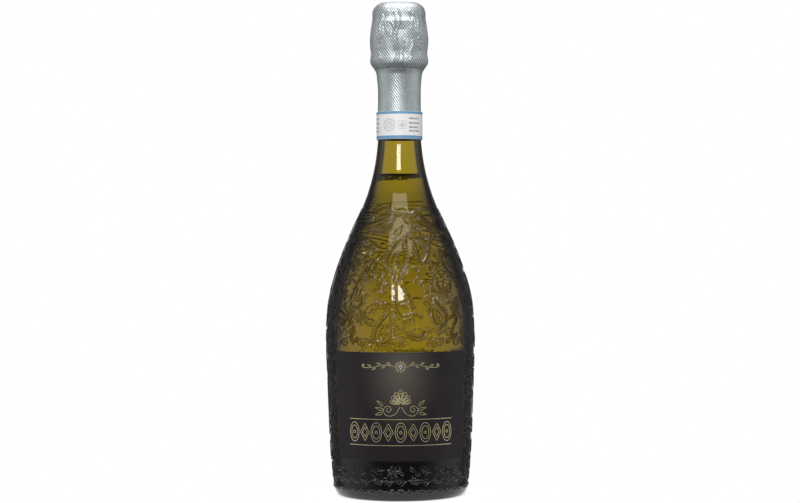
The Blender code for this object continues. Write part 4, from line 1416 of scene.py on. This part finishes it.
class BOTTLE_OT_hood(bpy.types.Operator):
    """Press embossed foil over the cork and the wire cage, with its folds and its perforated hem"""

    bl_idname = "bottle.hood"
    bl_label = "Foil Hood"

    def execute(self, context):
        sizes = context.scene.bottle_foil
        chance = np.random.default_rng(SEED)
        angles = round_angles(sizes.columns)
        outline, radii = self.read_model()
        fine, table = self.refine(outline, radii, angles, sizes)
        wall = Wall(fine, angles)
        self.fold(wall, sizes, chance)
        holes = Wall(fine, angles)
        self.perforate(holes, sizes, chance)
        lengths = wall.lengths[:, None]
        widest = fine[:, 0].max()
        around = FULL_TURN * widest
        across = angles[None, :] * around / FULL_TURN
        pitch = around / round(around / sizes.across)
        ribs = embossing(across * sizes.across / pitch, lengths, sizes)
        rim = np.clip(fine[:, :1] / (0.72 * widest), 0, 1)**2
        creased = crumple(across, lengths, around, 5.0 * MM, 3.2, chance)
        small = crumple(across, lengths, around, 2.4 * MM, 2.2, chance)
        push = sizes.emboss * (ribs - 1) + sizes.crease * (0.75 * creased + 0.15 * small - 0.4)
        push = (push + wall.field) * rim - 0.12 * MM * holes.field
        outer = turned_rows(fine, angles, table - fine[:, :1] + push)
        top_dents = sizes.crease * crumple(across, lengths, around, 4.5 * MM, 1.8, chance)
        outer[..., 2] += (top_dents - 0.5 * sizes.crease) * (1 - rim) * np.clip(fine[:, :1] / (3 * MM), 0, 1)
        # Painted shade in the valleys of the embossing and in the holes.
        dull = np.clip(0.56 * (1 - ribs)**1.5 * rim + holes.field, 0, 1)
        picked = np.unique(np.linspace(0, len(fine) - 1, 40).astype(int))
        under = turned_rows(fine[picked], angles, (table - fine[:, :1])[picked] - sizes.emboss)
        away = np.maximum(np.hypot(under[..., 0], under[..., 1]), 1e-9)
        under[..., :2] *= np.maximum(1 - 2 * sizes.sheet / away, 0)[..., None]
        under[..., 2] -= 3 * sizes.sheet * np.linspace(0, 1, len(picked))[:, None]**4
        left = np.linspace(1, 0, LID_ROWS + 1)[1:, None]
        lid = closed_over(outer[-1], LID_ROWS)
        lid_dents = crumple(across, (1 - left) * fine[-1, 0], around, 4.5 * MM, 1.8, chance)
        lid[..., 2] += sizes.crease * (lid_dents - 0.5) * 4 * left * (1 - left)
        lining = closed_over(under[-1], LID_ROWS)
        rows = np.concatenate([lining[::-1], under[::-1], outer, lid])
        marks = np.concatenate([0 * lining[..., 0], 0 * under[..., 0], dull, dull[-1] * left])
        hood = skinned("hood_foil", rows, dull=marks)
        crumpled = foil_material(sizes, "crumpled silver foil", 0.56)
        dressed(hood, crumpled, "hood", "silver_foil", "foil_hood")
        return {"FINISHED"}

    def read_model(self):
        """The hood's outer outline at +X and the radius at each of the model's own columns."""
        path = meridian("foil_hood")
        hem = min(point[1] for point in path)
        outer_hem = max(point for point in path if point[1] == hem)
        start = path.index(outer_hem)
        ways = (path[start:], path[start::-1])
        outline = max(ways, key=lambda way: way[1][0] if len(way) > 1 else 0)
        outline = [point for point in outline if point[0] > ON_PLANE]
        points = np.empty(len(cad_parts["foil_hood"].data.vertices) * 3)
        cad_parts["foil_hood"].data.vertices.foreach_get("co", points)
        points = points.reshape(-1, 3)
        around = np.round(np.arctan2(points[:, 1], points[:, 0]), 4) % FULL_TURN
        away = np.hypot(points[:, 0], points[:, 1])
        columns = np.unique(np.round(around[away > 1 * MM], 3))
        radii = np.zeros((len(outline), len(columns)))
        for row, (radius, height) in enumerate(outline):
            level = np.abs(points[:, 2] - height) < LEVEL_SLACK
            for column, angle in enumerate(columns):
                here = away[level & (np.abs(around - angle) < 0.002)]
                fitting = here[here > radius - RADIUS_SLACK]
                radii[row, column] = fitting.min() if len(fitting) else radius
        return outline, radii

    def refine(self, outline, radii, angles, sizes):
        """The outline and the radii on the fine grid, with the hem let down to the skirt's torn edge."""
        outline = [(outline[0][0], outline[0][1] - 0.25 * MM), *outline]
        radii = np.vstack([radii[:1], radii])
        fine = resampled(outline, lambda height: sizes.row)
        coarse_lengths = lengths_of(np.array(outline))
        lengths = lengths_of(fine)
        lengths = lengths * coarse_lengths[-1] / lengths[-1]
        columns = radii.shape[1]
        extra = radii - radii.min(1)[:, None]
        places = np.arange(-2, columns + 3) * FULL_TURN / columns
        wrapped = np.take(extra, np.arange(-2, columns + 3) % columns, axis=1)
        across = np.stack([np.interp(angles, places, row) for row in wrapped])
        push = np.stack([np.interp(lengths, coarse_lengths, column) for column in across.T], 1)
        window = np.hanning(2 * (len(angles) // columns) + 1)
        window /= window.sum()
        margin = len(window)
        padded = np.concatenate([push[:, -margin:], push, push[:, :margin]], axis=1)
        eased = np.stack([np.convolve(row, window, "same") for row in padded])[:, margin:-margin]
        return fine, fine[:, :1] + eased

    def fold(self, wall, sizes, chance):
        """Folds pressed over the key at the front and over the four legs of the cage."""
        low, high = wall.heights[0], wall.heights.max()
        tall = high - low

        def crease(angle, start, end, lean, width, rise):
            height = low + tall * (start + end) / 2
            half = tall * (end - start) / 2
            run = np.linspace(-1, 1, 9)
            bent = np.stack([lean * run + 0.07 * np.sin(5 * run + angle), run], 1)
            wall.stamp([(bent, 1.0, 1.0)], angle % FULL_TURN, height, 0.0, half, width, rise)

        for offset, start, end, lean in KEY_FOLDS:
            crease(FRONT + offset * MM / FOLD_RADIUS, start, end, lean, KEY_FOLD_WIDTH, 1.6 * sizes.crease)
        for turn, start, end, lean in SIDE_FOLDS:
            crease(FRONT + turn, start, end, lean, FOLD_WIDTH, 1.2 * sizes.crease)
        for corner in range(4):
            angle = FRONT + math.pi / 4 + corner * math.pi / 2
            crease(
                angle + chance.uniform(-0.1, 0.1), 0.45, 0.80, chance.uniform(-0.2, 0.2), HIGH_FOLD_WIDTH,
                sizes.crease,
            )
            crease(
                angle + chance.uniform(-0.2, 0.2), 0.10, 0.35, chance.uniform(-0.4, 0.4), FOLD_WIDTH,
                0.8 * sizes.crease,
            )
        for _ in range(30):
            start = chance.uniform(0.02, 0.75)
            crease(
                chance.uniform(0, FULL_TURN), start, start + chance.uniform(0.06, 0.25),
                chance.uniform(-0.6, 0.6), chance.uniform(0.5, 1.0) * MM,
                chance.uniform(0.3, 0.8) * sizes.crease,
            )

    def perforate(self, holes, sizes, chance):
        """A row of small dents along the hem, where the foil is made to tear, painted dark as the shade in
        its holes.
        """
        height = holes.heights[0] + sizes.hole_rise
        for step in range(sizes.hole_count):
            angle = FULL_TURN * (step + chance.uniform(-0.12, 0.12)) / sizes.hole_count
            hole = [dot(0, 0, chance.uniform(0.8, 1.2))]
            holes.stamp(hole, angle % FULL_TURN, height, 0.0, HOLE_SIZE, HOLE_LINE, 1.0)


CORK_ROW = 0.8 * MM
PLATE_ROW = 0.5 * MM


class BOTTLE_OT_cork(bpy.types.Operator):
    """Make the cork's pressed body and its two natural discs round and porous"""

    bl_idname = "bottle.cork"
    bl_label = "Cork"

    def execute(self, context):
        pressed = cork_material("pressed cork", True)
        natural = cork_material("natural cork", False)
        body = turned_piece("cork_body", 96, CORK_ROW)
        dressed(body, pressed, "cork", "pressed_cork", "cork_body")
        for node in ("cork_disc_upper", "cork_disc_lower"):
            dressed(turned_piece(node, 96, CORK_ROW), natural, "cork", "natural_cork", node)
        return {"FINISHED"}


class BOTTLE_OT_cage(bpy.types.Operator):
    """Give the crown plate, the wire cage, its belt and its key their metal"""

    bl_idname = "bottle.cage"
    bl_label = "Plate and Wires"

    def execute(self, context):
        plate = turned_piece("crown_plate", 128, PLATE_ROW)
        tin = metal_material("rolled tin plate", (0.66, 0.67, 0.68), 0.28, 260.0)
        dressed(plate, tin, "muselet", "tin_plate", "crown_plate")
        wire = metal_material("galvanised wire", (0.58, 0.59, 0.60), 0.34, 900.0)
        for node in ("muselet_frame", "muselet_belt", "muselet_key"):
            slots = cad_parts[node].data.materials
            slots.clear()
            slots.append(wire)
        return {"FINISHED"}


CLIP_START = 0.05
FLOOR_RADIUS = 0.062
FLOOR_DROP = 0.1 * MM

# Area lamps as (name, place, width and height, watts), and the height on the axis that all are aimed at
LAMPS = (
    ("front_box", (-0.13, -1.7, 0.84), (0.60, 0.40), 10.5),
    ("high_box", (0.0, -0.80, 1.07), (0.91, 0.36), 2.1),
    ("left_box", (-0.34, -0.34, 1.24), (0.22, 0.16), 3.8),
    ("right_box", (0.34, -0.34, 1.24), (0.22, 0.16), 3.8),
)
LAMP_AIM = 0.14


class BOTTLE_OT_stage(bpy.types.Operator):
    """Set the floor, the white background, the soft lights and the camera"""

    bl_idname = "bottle.stage"
    bl_label = "Stage"

    def execute(self, context):
        sizes = context.scene.bottle_stage
        self.lay_floor()
        self.light_world(context, sizes)
        self.add_lamps()
        camera = bpy.data.objects.new("camera", bpy.data.cameras.new("camera"))
        context.scene.collection.objects.link(camera)
        camera.data.lens = sizes.lens
        camera.data.clip_start = CLIP_START
        camera.location = (0, -sizes.distance, sizes.height)
        level = Matrix.Rotation(math.pi / 2, 3, "X")
        camera.rotation_euler = (level @ Matrix.Rotation(-sizes.roll, 3, "Z")).to_euler()
        context.scene.camera = camera
        context.scene.view_settings.view_transform = "Standard"
        return {"FINISHED"}

    def lay_floor(self):
        shape = bmesh.new()
        bmesh.ops.create_circle(shape, cap_ends=True, segments=96, radius=FLOOR_RADIUS)
        floor = linked("floor", shape)
        floor.location.z = -FLOOR_DROP
        pale = Recipe(bpy.data.materials.new("pale floor"))
        pale.tree.nodes.remove(pale.shader)
        matt = pale.add("BsdfDiffuse", {"Color": (0.80, 0.80, 0.80, 1)})
        seen = pale.add("BsdfDiffuse", {"Color": (0.45, 0.45, 0.45, 1)})
        glow = pale.add("Emission", {"Color": (1, 1, 1, 1), "Strength": 0.75})
        bright = pale.add("AddShader", {0: seen.outputs[0], 1: glow.outputs[0]})
        surface = pale.add("MixShader", {"Fac": pale.shown(), 1: matt.outputs[0], 2: bright.outputs[0]})
        pale.fill(pale.output, {"Surface": surface.outputs[0]})
        floor.data.materials.append(pale.owner)

    def light_world(self, context, sizes):
        """White behind the bottle. Metal shows that white, lit sides and a dim room in front."""
        world = bpy.data.worlds.new("studio")
        context.scene.world = world
        sky = Recipe(world)
        direction = sky.add("TexCoord").outputs["Generated"]
        parts = sky.add("SeparateXYZ", {"Vector": direction}).outputs
        flat = sky.sum_up("SQRT", sky.sum_up("SUBTRACT", 1.0, sky.sum_up("MULTIPLY", parts[2], parts[2])))
        back = sky.sum_up("DIVIDE", parts[1], sky.sum_up("MAXIMUM", flat, 0.01))
        turn = sky.add("MapRange", {"Value": back, "From Min": 1.0, "From Max": -1.0}).outputs[0]
        side = sizes.side_light
        room = sky.greys(
            turn, (0.0, 0.8), (0.012, 0.8), (0.03, 0.22 * side), (0.20, 0.22 * side),
            (0.36, 0.95 * side), (0.5, side), (0.66, side), (0.84, 0.45 * side),
            (0.93, 0.26 * side), (1.0, 0.23 * side),
        )
        behind = sky.greys(
            turn, (0.0, 1.0), (0.018, 1.0), (0.06, 0.72), (0.12, 0.37), (0.20, 0.2), (0.6, 0.2),
            (0.8, 0.45), (1.0, 0.8),
        )
        climb = sky.add("MapRange", {"Value": parts[2], "From Min": -1.0, "From Max": 1.0}).outputs[0]
        levels = sky.greys(
            climb, (0.28, 0.60), (0.42, 0.80), (0.49, 0.90), (0.53, 1.0), (0.63, 1.0),
            (0.75, 0.45), (0.9, 0.40),
        )
        beyond_levels = sky.greys(
            climb, (0.28, 0.28), (0.37, 0.66), (0.44, 0.94), (0.48, 1.0), (0.56, 1.0),
            (0.66, 0.40), (0.8, 0.12),
        )
        ceiling = sky.greys(climb, (0.90, 0.0), (0.97, sizes.ceiling))
        rays = sky.add("LightPath").outputs
        mirrored = sky.mixed(1.0, sky.mixed(1.0, room, levels, "MULTIPLY"), ceiling, "ADD")
        beyond = sky.mixed(1.0, behind, beyond_levels, "MULTIPLY")
        through = sky.mixed(rays["Is Transmission Ray"], mirrored, beyond)
        seen = sky.mixed(rays["Is Camera Ray"], through, (1.0, 1.0, 1.0))
        colour = sky.mixed(sky.shown(), (sizes.fill_light,) * 3, seen)
        sky.fill(sky.tree.nodes["Background"], {"Color": colour, "Strength": 1.0})

    def add_lamps(self):
        for name, place, size, power in LAMPS:
            light = bpy.data.lights.new(name, "AREA")
            light.shape = "RECTANGLE"
            light.size, light.size_y = size
            light.energy = power
            lamp = bpy.data.objects.new(name, light)
            bpy.context.scene.collection.objects.link(lamp)
            lamp.location = place
            aim = Vector((0, 0, LAMP_AIM)) - Vector(place)
            lamp.rotation_euler = aim.to_track_quat("-Z", "Y").to_euler()
            lamp.visible_camera = False


class BOTTLE_PT_panel(bpy.types.Panel):
    bl_idname = "BOTTLE_PT_panel"
    bl_label = "Sparkling Wine Bottle"
    bl_space_type = "VIEW_3D"
    bl_region_type = "UI"
    bl_category = "Bottle"

    def draw(self, context):
        for operator in OPERATORS:
            self.layout.operator(operator.bl_idname)
        for name in SETTINGS:
            box = self.layout.box()
            group = getattr(context.scene, name)
            for key in group.__annotations__:
                box.prop(group, key)


SETTINGS = {
    "bottle_glass": GlassSettings, "bottle_wine": WineSettings, "bottle_foil": FoilSettings,
    "bottle_label": LabelSettings, "bottle_band": BandSettings, "bottle_stage": StageSettings,
}
OPERATORS = (
    BOTTLE_OT_glass, BOTTLE_OT_wine, BOTTLE_OT_label, BOTTLE_OT_band, BOTTLE_OT_skirt,
    BOTTLE_OT_hood, BOTTLE_OT_cork, BOTTLE_OT_cage, BOTTLE_OT_stage,
)


def register():
    for entry in (*SETTINGS.values(), *OPERATORS, BOTTLE_PT_panel):
        bpy.utils.register_class(entry)
    for name, group in SETTINGS.items():
        setattr(bpy.types.Scene, name, PointerProperty(type=group))


def unregister():
    for name in SETTINGS:
        delattr(bpy.types.Scene, name)
    for entry in (BOTTLE_PT_panel, *OPERATORS[::-1], *SETTINGS.values()):
        bpy.utils.unregister_class(entry)


def main():
    register()
    bpy.ops.bottle.stage()
    bpy.ops.bottle.glass()
    bpy.ops.bottle.wine()
    bpy.ops.bottle.label()
    bpy.ops.bottle.band()
    bpy.ops.bottle.skirt()
    bpy.ops.bottle.hood()
    bpy.ops.bottle.cork()
    bpy.ops.bottle.cage()


if __name__ == "__main__":
    main()
